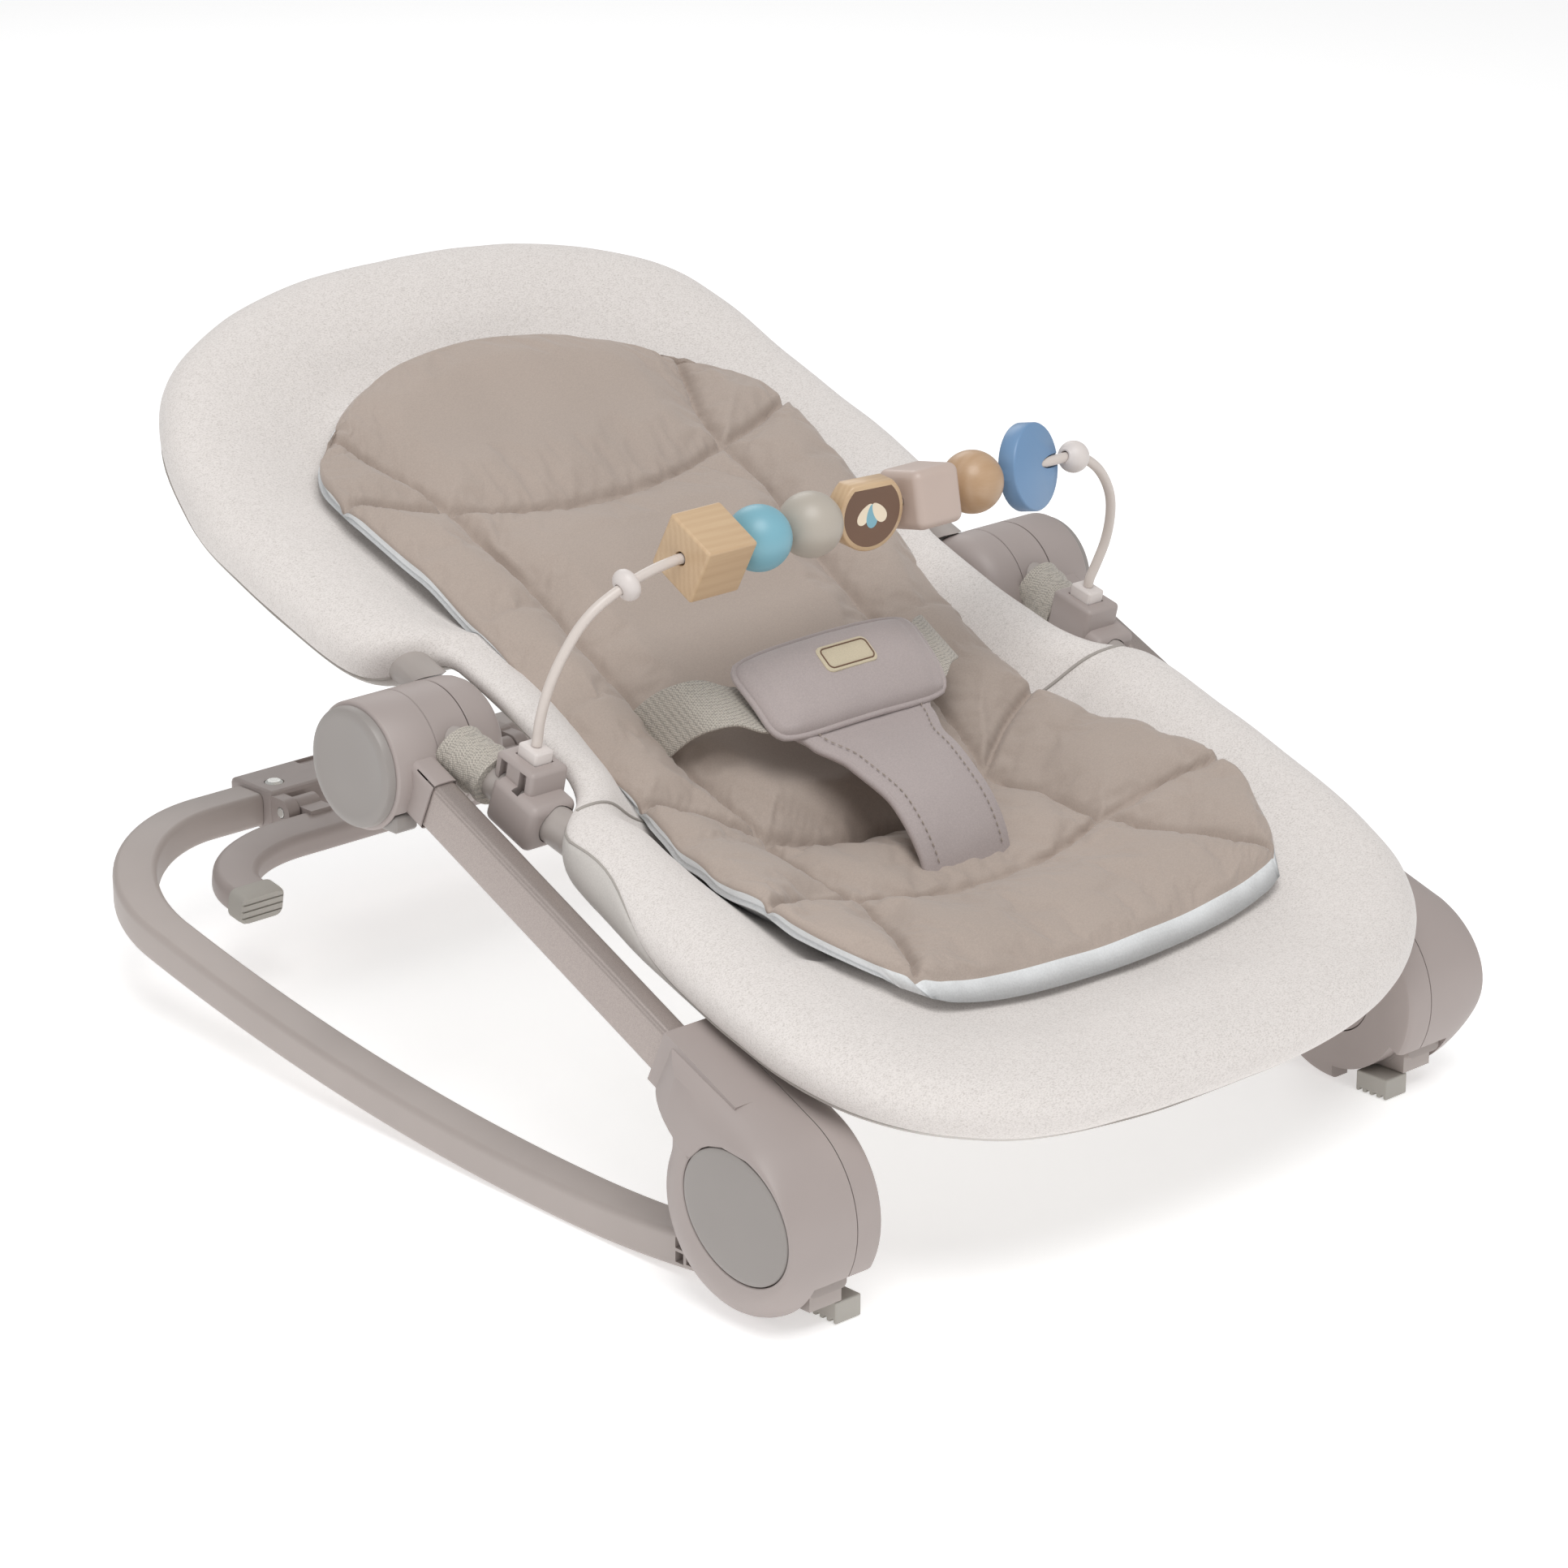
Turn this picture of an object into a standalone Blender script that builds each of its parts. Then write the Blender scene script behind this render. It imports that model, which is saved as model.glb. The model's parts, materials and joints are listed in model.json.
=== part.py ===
"""Baby bouncer seat: rocking base, folding side struts, reclining backrest,
rear stand, padded seat with harness and a lift-off toy bar with turning beads.

Metres, +Z up. X runs across the seat, the foot end faces -Y, the head end +Y.
All y values below are measured from the front hub axis; the finished pieces are
shifted once by Y_SHIFT so the origin lies under the middle of the object."""
import math

import bmesh
import bpy
import numpy as np
from mathutils import Matrix, Vector

# ---------------------------------------------------------------- dimensions
GAP = 0.0003                    # clearance between touching pieces
Y_SHIFT = -0.2162               # front hub axis to object centre

# rocker rails
RAIL_W, RAIL_H, RAIL_R = 0.0215, 0.0170, 0.0035
RAIL_X = 0.18725                # centre line of a rail
RAIL_FRONT_Y = -0.0340
ROCK_LOW_Y = 0.120              # where the rocker touches the floor
ROCK_R_REAR, ROCK_R_FRONT = 1.37, 0.66
LOOP_CORNER = 0.080             # plan radius of the rear corners
CROSS_Y = 0.5015                # centre line of the rear crossbar
CROSS_X = 0.0780                # half length of its housing
CROSS_D, CROSS_H = 0.0340, 0.0215

# front hubs (axis across the seat)
HUB_Z, HUB_R = 0.0460, 0.0450
CORE_R = 0.0395
X_FACE, X_CORE_OUT, X_SEAM, X_CORE_IN, X_INNER = 0.2165, 0.1980, 0.1800, 0.1765, 0.1650
STRUT_ANGLE = math.radians(24.5)
STRUT_V = 0.0320                # strut centre line, offset above the hub axis
STRUT_H, STRUT_XO, STRUT_XI = 0.0230, 0.2046, 0.1924
NECK_END = 0.0680

# upper hubs
UP_Y, UP_Z, UP_R = 0.2368, 0.1831, 0.0290
X_UP_FACE, X_UP_SEAM = 0.2130, 0.1900

# seat frame
SLOPE = 0.370                   # rise per metre of the seat tubes
BETA = math.atan(SLOPE)
TUBE_Z0 = 0.1115                # height of the tube line at y = 0
TUBE_R, TUBE_WALL = 0.0090, 0.0012
RIM_R, CHANNEL_R = 0.0127, 0.0094
S_BEND, BEND_LEN, BEND_TO = 0.1365, 0.060, math.radians(38.0)
SEAT_FRONT_S, SEAT_CORNER_S = -0.331, -0.228
HEAD_S, HEAD_CORNER_S = 0.263, 0.120
HALF_W = 0.1710
CORNER_POWER = 2.7

# toy bar
BAR_LEAN = Vector((0.0, -0.2334, 0.9724))
CLIP_S = -0.0745
ARCH_X, ARCH_TOP_Z, ARCH_R, ROD_R = 0.1700, 0.2740, 0.0380, 0.00235


# ---------------------------------------------------------------- materials
def material(name, rgb, rough, metal=0.0):
    mat = bpy.data.materials.new(name)
    mat.use_nodes = True
    bsdf = mat.node_tree.nodes["Principled BSDF"]
    lin = [c / 12.92 if c <= 0.04045 else ((c + 0.055) / 1.055) ** 2.4 for c in rgb]
    bsdf.inputs["Base Color"].default_value = (*lin, 1.0)
    bsdf.inputs["Roughness"].default_value = rough
    bsdf.inputs["Metallic"].default_value = metal
    mat.diffuse_color = (*lin, 1.0)
    return mat


for old in list(bpy.data.objects):
    bpy.data.objects.remove(old, do_unlink=True)

SHELL = material("taupe_plastic", (0.70, 0.66, 0.645), 0.50)
RAILM = material("rail_plastic", (0.715, 0.675, 0.66), 0.48)
GREY = material("grey_plastic", (0.62, 0.61, 0.595), 0.45)
RUBBER = material("grey_rubber", (0.60, 0.59, 0.57), 0.80)
STRUTM = material("taupe_metal", (0.70, 0.665, 0.635), 0.36, 0.85)
STEEL = material("steel_tube", (0.72, 0.72, 0.72), 0.30, 1.0)
RIVETM = material("rivet_steel", (0.86, 0.86, 0.85), 0.30, 1.0)
JERSEY = material("pale_jersey", (0.865, 0.845, 0.825), 0.95)
PADM = material("taupe_pad_fabric", (0.66, 0.61, 0.565), 0.90)
HARN = material("mauve_harness_fabric", (0.645, 0.605, 0.605), 0.85)
WEB = material("beige_webbing", (0.66, 0.63, 0.57), 0.85)
RODM = material("beige_rod", (0.82, 0.775, 0.745), 0.45)
BEADP = material("beige_plastic", (0.85, 0.82, 0.80), 0.50)
WOOD = material("natural_wood", (0.89, 0.78, 0.62), 0.45)
BALLW = material("warm_wood", (0.79, 0.64, 0.47), 0.42)
BLUE = material("light_blue_paint", (0.53, 0.74, 0.80), 0.42)
SAGE = material("sage_paint", (0.73, 0.71, 0.66), 0.45)
PINK = material("pink_beige_paint", (0.81, 0.73, 0.68), 0.45)
SKY = material("blue_paint", (0.50, 0.655, 0.815), 0.42)
LABEL = material("beige_label", (0.80, 0.76, 0.68), 0.70)


# ---------------------------------------------------------------- mesh tools
def make(name, verts, faces, mat, origin=(0, 0, 0), angle=35.0):
    """A closed mesh object with outward normals, smooth except at sharp edges."""
    origin = Vector(origin)
    bm = bmesh.new()
    pts = [bm.verts.new(Vector(v) - origin) for v in verts]
    for f in faces:
        bm.faces.new([pts[i] for i in f])
    bmesh.ops.recalc_face_normals(bm, faces=bm.faces)
    mesh = bpy.data.meshes.new(name)
    bm.to_mesh(mesh)
    bm.free()
    mesh.materials.append(mat)
    mesh.shade_smooth()
    mesh.set_sharp_from_angle(angle=math.radians(angle))
    ob = bpy.data.objects.new(name, mesh)
    ob.location = origin
    bpy.context.scene.collection.objects.link(ob)
    return ob


def skin(rings, closed=False, caps=True):
    """Vertices and faces of a surface through rings of equal length."""
    n, verts, faces = len(rings[0]), [p for r in rings for p in r], []
    last = len(rings) if closed else len(rings) - 1
    for k in range(last):
        a, b = k * n, ((k + 1) % len(rings)) * n
        for i in range(n):
            j = (i + 1) % n
            faces.append((a + i, a + j, b + j, b + i))
    if caps and not closed:
        faces.append(tuple(range(n))[::-1])
        faces.append(tuple((len(rings) - 1) * n + i for i in range(n)))
    return verts, faces


def hollow_skin(outer, inner):
    """A tube with a wall: outer and inner rings joined at both ends."""
    n, m = len(outer[0]), len(outer)
    vo, fo = skin(outer, caps=False)
    vi, fi = skin(inner, caps=False)
    base = len(vo)
    faces = list(fo) + [tuple(base + i for i in reversed(f)) for f in fi]
    for row in (0, (m - 1) * n):
        for i in range(n):
            j = (i + 1) % n
            faces.append((row + i, row + j, base + row + j, base + row + i))
    return vo + vi, faces


def circle(r, n):
    return [(r * math.cos(2 * math.pi * i / n), r * math.sin(2 * math.pi * i / n)) for i in range(n)]


def rounded_rect(w, h, r, steps=3):
    pts = []
    for cx, cy, a0 in ((w / 2 - r, h / 2 - r, 0), (r - w / 2, h / 2 - r, 90),
                       (r - w / 2, r - h / 2, 180), (w / 2 - r, r - h / 2, 270)):
        for k in range(steps + 1):
            a = math.radians(a0 + 90 * k / steps)
            pts.append((cx + r * math.cos(a), cy + r * math.sin(a)))
    return pts


def sweep_rings(path, section, up=Vector((0, 0, 1))):
    """Section points (side, normal) carried along a path with a steady up vector."""
    rings = []
    for i, p in enumerate(path):
        t = (path[min(i + 1, len(path) - 1)] - path[max(i - 1, 0)]).normalized()
        side = t.cross(up).normalized()
        nrm = side.cross(t).normalized()
        rings.append([p + side * a + nrm * b for a, b in section])
    return rings


def tube(name, path, r, mat, n=12, up=Vector((0, 0, 1)), wall=0.0):
    outer = sweep_rings(path, circle(r, n), up)
    if wall:
        return make(name, *hollow_skin(outer, sweep_rings(path, circle(r - wall, n), up)), mat)
    return make(name, *skin(outer), mat)


def extrude_x(name, outline, x0, x1, mat, origin=(0, 0, 0)):
    """An outline in (y, z) given thickness along X."""
    rings = [[Vector((x, y, z)) for y, z in outline] for x in (x0, x1)]
    return make(name, *skin(rings), mat, origin)


def box(name, lo, hi, mat, bevel=0.0, origin=None):
    (x0, y0, z0), (x1, y1, z1) = lo, hi
    rings = [[Vector((x, y0, z0)), Vector((x, y1, z0)), Vector((x, y1, z1)), Vector((x, y0, z1))]
             for x in (x0, x1)]
    ob = make(name, *skin(rings), mat, origin or [(a + b) / 2 for a, b in zip(lo, hi)])
    if bevel:
        mod = ob.modifiers.new("edges", "BEVEL")
        mod.width, mod.segments, mod.limit_method = bevel, 2, "ANGLE"
        apply_all(ob)
    return ob


def lathe_x(name, profile, cy, cz, mat, n=32, origin=None):
    """Turn (x, radius) points about the X axis through (cy, cz)."""
    rings, ends = [], []
    for x, r in profile:
        if r > 1e-6:
            rings.append([Vector((x, cy + r * math.cos(2 * math.pi * i / n),
                                  cz + r * math.sin(2 * math.pi * i / n))) for i in range(n)])
        else:
            ends.append(x)
    verts, faces = skin(rings)
    return make(name, verts, faces, mat, origin or (profile[0][0], cy, cz))


def apply_all(ob):
    graph = bpy.context.evaluated_depsgraph_get()
    mesh = bpy.data.meshes.new_from_object(ob.evaluated_get(graph))
    old = ob.data
    ob.modifiers.clear()
    ob.data = mesh
    mesh.name = ob.name
    if old.users == 0:
        bpy.data.meshes.remove(old)


def boolean(ob, other, op):
    mod = ob.modifiers.new("cut", "BOOLEAN")
    mod.operation, mod.object, mod.solver = op, other, "EXACT"
    apply_all(ob)
    bpy.data.objects.remove(other, do_unlink=True)
    bm = bmesh.new()
    bm.from_mesh(ob.data)
    bmesh.ops.remove_doubles(bm, verts=bm.verts, dist=1e-6)
    bmesh.ops.dissolve_degenerate(bm, dist=1e-6, edges=bm.edges)
    bm.to_mesh(ob.data)
    bm.free()
    while len(ob.data.materials) > 1:
        ob.data.materials.pop(index=len(ob.data.materials) - 1)
    for poly in ob.data.polygons:
        poly.material_index = 0
    ob.data.shade_smooth()
    ob.data.set_sharp_from_angle(angle=math.radians(35))
    return ob


def cut(ob, *others):
    for other in others:
        boolean(ob, other, "DIFFERENCE")
    return ob


def join(ob, *others):
    for other in others:
        boolean(ob, other, "UNION")
    return ob


def mirrored(ob, name):
    """The same piece on the other side of the seat, as its own object."""
    mesh = ob.data.copy()
    mesh.transform(Matrix.Diagonal((-1, 1, 1, 1)))
    mesh.flip_normals()
    twin = bpy.data.objects.new(name, mesh)
    twin.location = (-ob.location.x, ob.location.y, ob.location.z)
    bpy.context.scene.collection.objects.link(twin)
    return twin


# ---------------------------------------------------------------- base frame
def rail_z(y):
    """Height of a rail's underside along the rocker curve."""
    d = y - ROCK_LOW_Y
    return d * d / (2 * (ROCK_R_REAR if d > 0 else ROCK_R_FRONT))


def rail_path():
    pts = [Vector((-RAIL_X, y, 0)) for y in np.linspace(RAIL_FRONT_Y, CROSS_Y - LOOP_CORNER, 12)]
    cx, cy = -RAIL_X + LOOP_CORNER, CROSS_Y - LOOP_CORNER
    for k in range(1, 8):
        a = math.radians(180 - 90 * k / 7)
        pts.append(Vector((cx + LOOP_CORNER * math.cos(a), cy + LOOP_CORNER * math.sin(a), 0)))
    pts.append(Vector((-CROSS_X - GAP, CROSS_Y, 0)))
    for p in pts:
        p.z = rail_z(p.y) + RAIL_H / 2
    return pts


rail = make("rocker_rail_l",
            *skin(sweep_rings(rail_path(), rounded_rect(RAIL_W, RAIL_H, RAIL_R, 2))), RAILM)
core = lathe_x("core", [(-X_CORE_OUT, CORE_R), (-X_CORE_IN, CORE_R)], 0, HUB_Z, RAILM, 32)
foot = box("foot", (-0.1950, -0.0325, 0.0030), (-0.1770, -0.0145, 0.0300), RAILM)
join(rail, core, foot)
cut(rail, lathe_x("bore", [(-0.2100, 0.0070), (-0.1600, 0.0070)], 0, HUB_Z, RAILM, 20))
POCKET = 0.0046                 # lattice cells near the front end of a rail
for row in range(2):
    for col in range(5):
        y = 0.0150 + col * 0.0068
        z = rail_z(y) + 0.0026 + row * 0.0064
        cut(rail, box("p", (-0.1990, y, z), (-0.1905, y + POCKET, z + POCKET), RAILM),
            box("p", (-0.1845, y, z), (-0.1755, y + POCKET, z + POCKET), RAILM))
mirrored(rail, "rocker_rail_r")

# crossbar housing between the rails, with the stand's hinge posts in front
bar_z = rail_z(CROSS_Y) + RAIL_H / 2
HINGE_Y, HINGE_Z = 0.4780, bar_z + 0.0020
cross = box("rear_crossbar", (-CROSS_X, CROSS_Y - CROSS_D / 2, bar_z - CROSS_H / 2),
            (CROSS_X, CROSS_Y + CROSS_D / 2, bar_z + CROSS_H / 2), SHELL, 0.0025)
for sx in (-1, 1):
    xs = sorted((sx * 0.0770, sx * 0.0700))
    ear = lathe_x("ear", [(xs[0], 0.0070), (xs[1], 0.0070)], HINGE_Y, HINGE_Z, SHELL, 20)
    lug = box("lug", (xs[0], HINGE_Y, HINGE_Z - 0.0070), (xs[1], CROSS_Y - 0.012, HINGE_Z + 0.0070), SHELL)
    join(cross, ear, lug)
    cut(cross, lathe_x("bore", [(sx * 0.09, 0.0029), (sx * 0.065, 0.0029)][::sx], HINGE_Y, HINGE_Z,
                       SHELL, 16))
top = bar_z + CROSS_H / 2
cut(cross, box("slot", (-0.0360, 0.4930, top - 0.0060), (-0.0130, 0.5020, top + 0.01), SHELL),
    box("slot", (0.0130, 0.4930, top - 0.0060), (0.0360, 0.5020, top + 0.01), SHELL),
    box("slot", (-0.0400, CROSS_Y + 0.0080, top - 0.0015), (0.0400, CROSS_Y + 0.0140, top + 0.01), SHELL))
RIVET_X = 0.0660


def lathe_z(name, profile, cx, cy, mat, n=20, origin=None):
    """Turn (z, radius) points about the vertical through (cx, cy)."""
    rings = [[Vector((cx + r * math.cos(2 * math.pi * i / n), cy + r * math.sin(2 * math.pi * i / n), z))
              for i in range(n)] for z, r in profile]
    return make(name, *skin(rings), mat, origin or (cx, cy, profile[0][0]))


for sx, tag in ((-1, "l"), (1, "r")):
    cut(cross, lathe_z("hole", [(top - 0.0030, 0.0048 + GAP), (top + 0.01, 0.0048 + GAP)],
                       sx * RIVET_X, CROSS_Y - 0.004, SHELL, 20))
    lathe_z("rivet_" + tag, [(top - 0.0030 + GAP, 0.0048), (top - 0.0002, 0.0048), (top + 0.0010, 0.0034)],
            sx * RIVET_X, CROSS_Y - 0.004, RIVETM, 20)
    a, b = sorted((sx * 0.0773, sx * 0.0560))
    lathe_x("stand_pin_" + tag, [(a, 0.0026), (b, 0.0026)], HINGE_Y, HINGE_Z, RIVETM, 16)
    lo, hi = sorted((sx * 0.1655, sx * 0.1767))
    box("rubber_foot_" + tag, (lo, -0.0324, 0.0), (hi, -0.0142, 0.0098), RUBBER, 0.0012)

# ---------------------------------------------------------------- rear stand
STAND_TILT = math.radians(10.0)         # the stowed arms slope down to the front
STAND_ORIGIN = (0.0, HINGE_Y, HINGE_Z)


def stand_point(x, d, h=0.0):
    """d runs forward from the hinge pin, h up from the stand's mid plane."""
    c, s = math.cos(STAND_TILT), math.sin(STAND_TILT)
    return Vector((x, HINGE_Y - d * c - h * s, HINGE_Z - 0.0030 - d * s + h * c))


def stand_path():
    pts = [stand_point(x, 0.0190) for x in (0.0, -0.045, -0.085)]
    for k in range(1, 6):
        a = math.radians(90 - 18 * k)
        pts.append(stand_point(-0.085 - 0.0535 * math.cos(a), 0.0190 + 0.034 * (1 - math.sin(a))))
    pts.append(stand_point(-0.1385, 0.0560))
    left = pts[::-1]
    return left + [Vector((-p.x, p.y, p.z)) for p in pts[1:]]


up = Vector((0, -math.sin(STAND_TILT), math.cos(STAND_TILT)))
stand = make("rear_stand", *skin(sweep_rings(stand_path(), rounded_rect(0.0225, 0.0130, 0.003, 1), up)),
             SHELL, STAND_ORIGIN)
for sx in (-1, 1):
    xs = sorted((sx * 0.0693, sx * 0.0560))
    eye = lathe_x("eye", [(xs[0], 0.0062), (xs[1], 0.0062)], HINGE_Y, HINGE_Z, SHELL, 20)
    web = box("web", (xs[0], HINGE_Y - 0.0150, HINGE_Z - 0.0062), (xs[1], HINGE_Y, HINGE_Z + 0.0030), SHELL)
    join(stand, eye, web)
    cut(stand, lathe_x("bore", [(min(xs) - 0.01, 0.0029), (max(xs) + 0.01, 0.0029)], HINGE_Y, HINGE_Z,
                       SHELL, 16))
for sx, tag in ((-1, "l"), (1, "r")):
    path = [stand_point(sx * 0.1385, d) for d in (0.0563, 0.0600, 0.0655, 0.0680)]
    sec = [rounded_rect(0.0255 * k, 0.0150 * k, 0.0035, 2) for k in (1.0, 1.0, 1.0, 0.94)]
    rings = [sweep_rings(path, sec[i], up)[i] for i in range(4)]
    make("stand_tip_" + tag, *skin(rings), RUBBER, STAND_ORIGIN)


# ---------------------------------------------------------------- front hubs
def strut_point(u, v, x=0.0):
    """u along the strut, v across it, both from the front hub axis."""
    c, s = math.cos(STRUT_ANGLE), math.sin(STRUT_ANGLE)
    return Vector((x, u * c - v * s, HUB_Z + u * s + v * c))


def teardrop(r, neck_half, n_arc=22):
    """Outline of a hub shell with its strut neck, as (u, v)."""
    v_low, rho = STRUT_V - neck_half, 0.018
    uc = math.sqrt((r + rho) ** 2 - (v_low - rho) ** 2)
    pts = [(NECK_END, r)]
    a_end = math.atan2(v_low - rho, uc)
    for k in range(n_arc + 1):
        a = math.radians(90) + (2 * math.pi + a_end - math.radians(90)) * k / n_arc
        pts.append((r * math.cos(a), r * math.sin(a)))
    a0 = a_end + math.pi
    for k in range(1, 6):
        a = a0 - (a0 - math.radians(90)) * k / 5
        pts.append((uc + rho * math.cos(a), v_low - rho + rho * math.sin(a)))
    pts.append((max(NECK_END, uc + 0.001), v_low))
    return pts


NECK_HALF = 0.0135
BTN_U, BTN_V, BTN_A, BTN_B = -0.0070, 0.0105, 0.0325, 0.0270


def dome_rings(outline, x_base, x_wall, x_face, margin=0.0020):
    """Shell outline drawn up into the oval face that carries the button."""
    rings = [[strut_point(u, v, -x_base) for u, v in outline],
             [strut_point(u, v, -x_wall) for u, v in outline]]
    for deg in (25, 50, 72, 90):
        t = math.radians(deg)
        ring = []
        for u, v in outline:
            a = math.atan2((v - BTN_V) / BTN_B, (u - BTN_U) / BTN_A)
            eu = BTN_U + (BTN_A + margin) * math.cos(a)
            ev = BTN_V + (BTN_B + margin) * math.sin(a)
            k = math.cos(t)
            x = x_wall + (x_face - x_wall) * math.sin(t)
            ring.append(strut_point(eu + (u - eu) * k, ev + (v - ev) * k, -x))
        rings.append(ring)
    return rings


HUB_ORIGIN = (0.0, 0.0, HUB_Z)
shell = make("front_shell_outer_l", *skin(dome_rings(teardrop(HUB_R, NECK_HALF), X_SEAM, 0.1960, X_FACE)),
             SHELL, HUB_ORIGIN)
neck = [strut_point(u, v) for u, v in ((0.020, STRUT_V - NECK_HALF), (NECK_END, STRUT_V - NECK_HALF),
                                       (NECK_END, HUB_R), (0.020, HUB_R))]
join(shell, extrude_x("neck", [(p.y, p.z) for p in neck], -0.2066, -0.1802, SHELL))
cut(shell, lathe_x("cup", [(-X_CORE_OUT - 0.0006, CORE_R + 0.0012), (-0.1700, CORE_R + 0.0012)],
                   0, HUB_Z, SHELL, 32))
slot = [strut_point(u, v) for u, v in ((0.0455, STRUT_V - 0.0118), (0.0800, STRUT_V - 0.0118),
                                       (0.0800, STRUT_V + 0.0118), (0.0455, STRUT_V + 0.0118))]
cut(shell, extrude_x("socket", [(p.y, p.z) for p in slot], -STRUT_XO - GAP, -STRUT_XI + GAP, SHELL))


def sector(name, a0, a1, r0, r1, x0, x1):
    """A ring sector about the front hub axis, used to open a rim."""
    n = 10
    arc = [math.radians(a0 + (a1 - a0) * k / n) for k in range(n + 1)]
    out = [(r1 * math.cos(a), HUB_Z + r1 * math.sin(a)) for a in arc]
    out += [(r0 * math.cos(a), HUB_Z + r0 * math.sin(a)) for a in reversed(arc)]
    return extrude_x(name, out, x0, x1, SHELL)


cut(shell, sector("rim_cut", -13, -151, 0.0300, 0.0600, -X_CORE_OUT - 0.0006, -0.1700))
btn_ring = [(BTN_U + (BTN_A + 0.0004) * math.cos(math.radians(10 * k)),
             BTN_V + (BTN_B + 0.0004) * math.sin(math.radians(10 * k))) for k in range(36)]
btn_pts = [strut_point(u, v) for u, v in btn_ring]
cut(shell, extrude_x("well", [(p.y, p.z) for p in btn_pts], -0.2300, -0.2085, SHELL))
cut(shell, lathe_x("bore", [(-0.2050, 0.0062), (-0.1700, 0.0062)], 0, HUB_Z, SHELL, 20))
mirrored(shell, "front_shell_outer_r")

inner = make("front_shell_inner_l",
             *skin([[strut_point(u * k, v * k, -x) for u, v in teardrop(HUB_R, NECK_HALF)]
                    for x, k in ((X_SEAM - 0.0005, 1.0), (0.1685, 1.0), (0.1660, 0.985), (X_INNER, 0.95))]),
             SHELL, HUB_ORIGIN)
cut(inner, lathe_x("cup", [(-0.1850, CORE_R + 0.0012), (-X_CORE_IN + 0.0005, CORE_R + 0.0012)],
                   0, HUB_Z, SHELL, 32))
cut(inner, sector("rim_cut", -13, -151, 0.0300, 0.0600, -0.1850, -X_CORE_IN + 0.0005),
    sector("foot_cut", -90, -151, 0.0384, 0.0600, -0.1850, -0.1600))
cut(inner, lathe_x("seat", [(-0.1680, 0.0203), (-0.1600, 0.0203)], 0, HUB_Z, SHELL, 32))
cut(inner, lathe_x("bore", [(-0.1900, 0.0062), (-0.1600, 0.0062)], 0, HUB_Z, SHELL, 20))

axle = lathe_x("front_axle_l", [(-0.2045, 0.0059), (-0.1678, 0.0059), (-0.1677, 0.0200), (-0.1655, 0.0200),
                                (-0.1648, 0.0190)], 0, HUB_Z, SHELL, 24, HUB_ORIGIN)
mirrored(axle, "front_axle_r")

# oval fold buttons, pressed towards the seat to fold the struts
btn_rings = []
for x, k in ((0.2120, 1.0), (0.2158, 1.0), (0.2166, 0.975), (0.2170, 0.90)):
    btn_rings.append([strut_point(BTN_U + BTN_A * k * math.cos(math.radians(10 * i)),
                                  BTN_V + BTN_B * k * math.sin(math.radians(10 * i)), -x) for i in range(36)])
button = make("fold_button_l", *skin(btn_rings), GREY, strut_point(BTN_U, BTN_V, -0.2120))
mirrored(button, "fold_button_r")

# ---------------------------------------------------------------- struts
UP_U = (UP_Y * math.cos(STRUT_ANGLE) + (UP_Z - HUB_Z) * math.sin(STRUT_ANGLE))
UP_NECK = UP_U - 0.0390
strut_up = Vector((0, -math.sin(STRUT_ANGLE), math.cos(STRUT_ANGLE)))
XM = -(STRUT_XO + STRUT_XI) / 2
path = [strut_point(u, STRUT_V, XM) for u in np.linspace(0.0458, UP_NECK + 0.0060, 6)]
outer = sweep_rings(path, rounded_rect(STRUT_XO - STRUT_XI, STRUT_H, 0.0030, 3), strut_up)
hole = sweep_rings(path, rounded_rect(STRUT_XO - STRUT_XI - 0.0030, STRUT_H - 0.0030, 0.0018, 3), strut_up)
strut = make("strut_l", *hollow_skin(outer, hole), STRUTM, HUB_ORIGIN)
mirrored(strut, "strut_r")

# ---------------------------------------------------------------- upper hubs
housing = lathe_x("upper_housing_l", [(-X_UP_FACE, UP_R - 0.0012), (-X_UP_FACE + 0.0012, UP_R),
                                      (-X_UP_SEAM - 0.0002, UP_R)], UP_Y, UP_Z, SHELL, 32,
                  (-X_UP_SEAM, UP_Y, UP_Z))
neck = [strut_point(u, v) for u, v in ((UP_NECK, STRUT_V - 0.0135), (UP_U - 0.01, STRUT_V - 0.0135),
                                       (UP_U - 0.01, STRUT_V + 0.0135), (UP_NECK, STRUT_V + 0.0135))]
join(housing, extrude_x("neck", [(p.y, p.z) for p in neck], -0.2066, -0.1904, SHELL))
slot = [strut_point(u, v) for u, v in ((UP_NECK - 0.02, STRUT_V - 0.0118), (UP_NECK + 0.0124, STRUT_V - 0.0118),
                                       (UP_NECK + 0.0124, STRUT_V + 0.0118), (UP_NECK - 0.02, STRUT_V + 0.0118))]
cut(housing, extrude_x("socket", [(p.y, p.z) for p in slot], -STRUT_XO - GAP, -STRUT_XI + GAP, SHELL))
cut(housing, box("tab_well", (-0.2115, 0.2135, 0.1490), (-0.1975, 0.2405, 0.1705), SHELL),
    lathe_x("bore", [(-0.2120, 0.0053), (-0.1850, 0.0053)], UP_Y, UP_Z, SHELL, 20))
mirrored(housing, "upper_housing_r")

cap = lathe_x("hub_cap_l", [(-0.2180, 0.0215), (-0.2174, 0.0245), (-0.2160, 0.0266), (-X_UP_FACE - GAP, 0.0272)],
              UP_Y, UP_Z, GREY, 32)
mirrored(cap, "hub_cap_r")
tab = box("recline_tab_l", (-0.2110, 0.2140, 0.1565), (-0.1980, 0.2400, 0.1650), GREY, 0.0015)
mirrored(tab, "recline_tab_r")
pin = lathe_x("recline_pin_l", [(-0.2115, 0.0050), (-0.1530, 0.0050)], UP_Y, UP_Z, RIVETM, 20)
mirrored(pin, "recline_pin_r")

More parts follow.
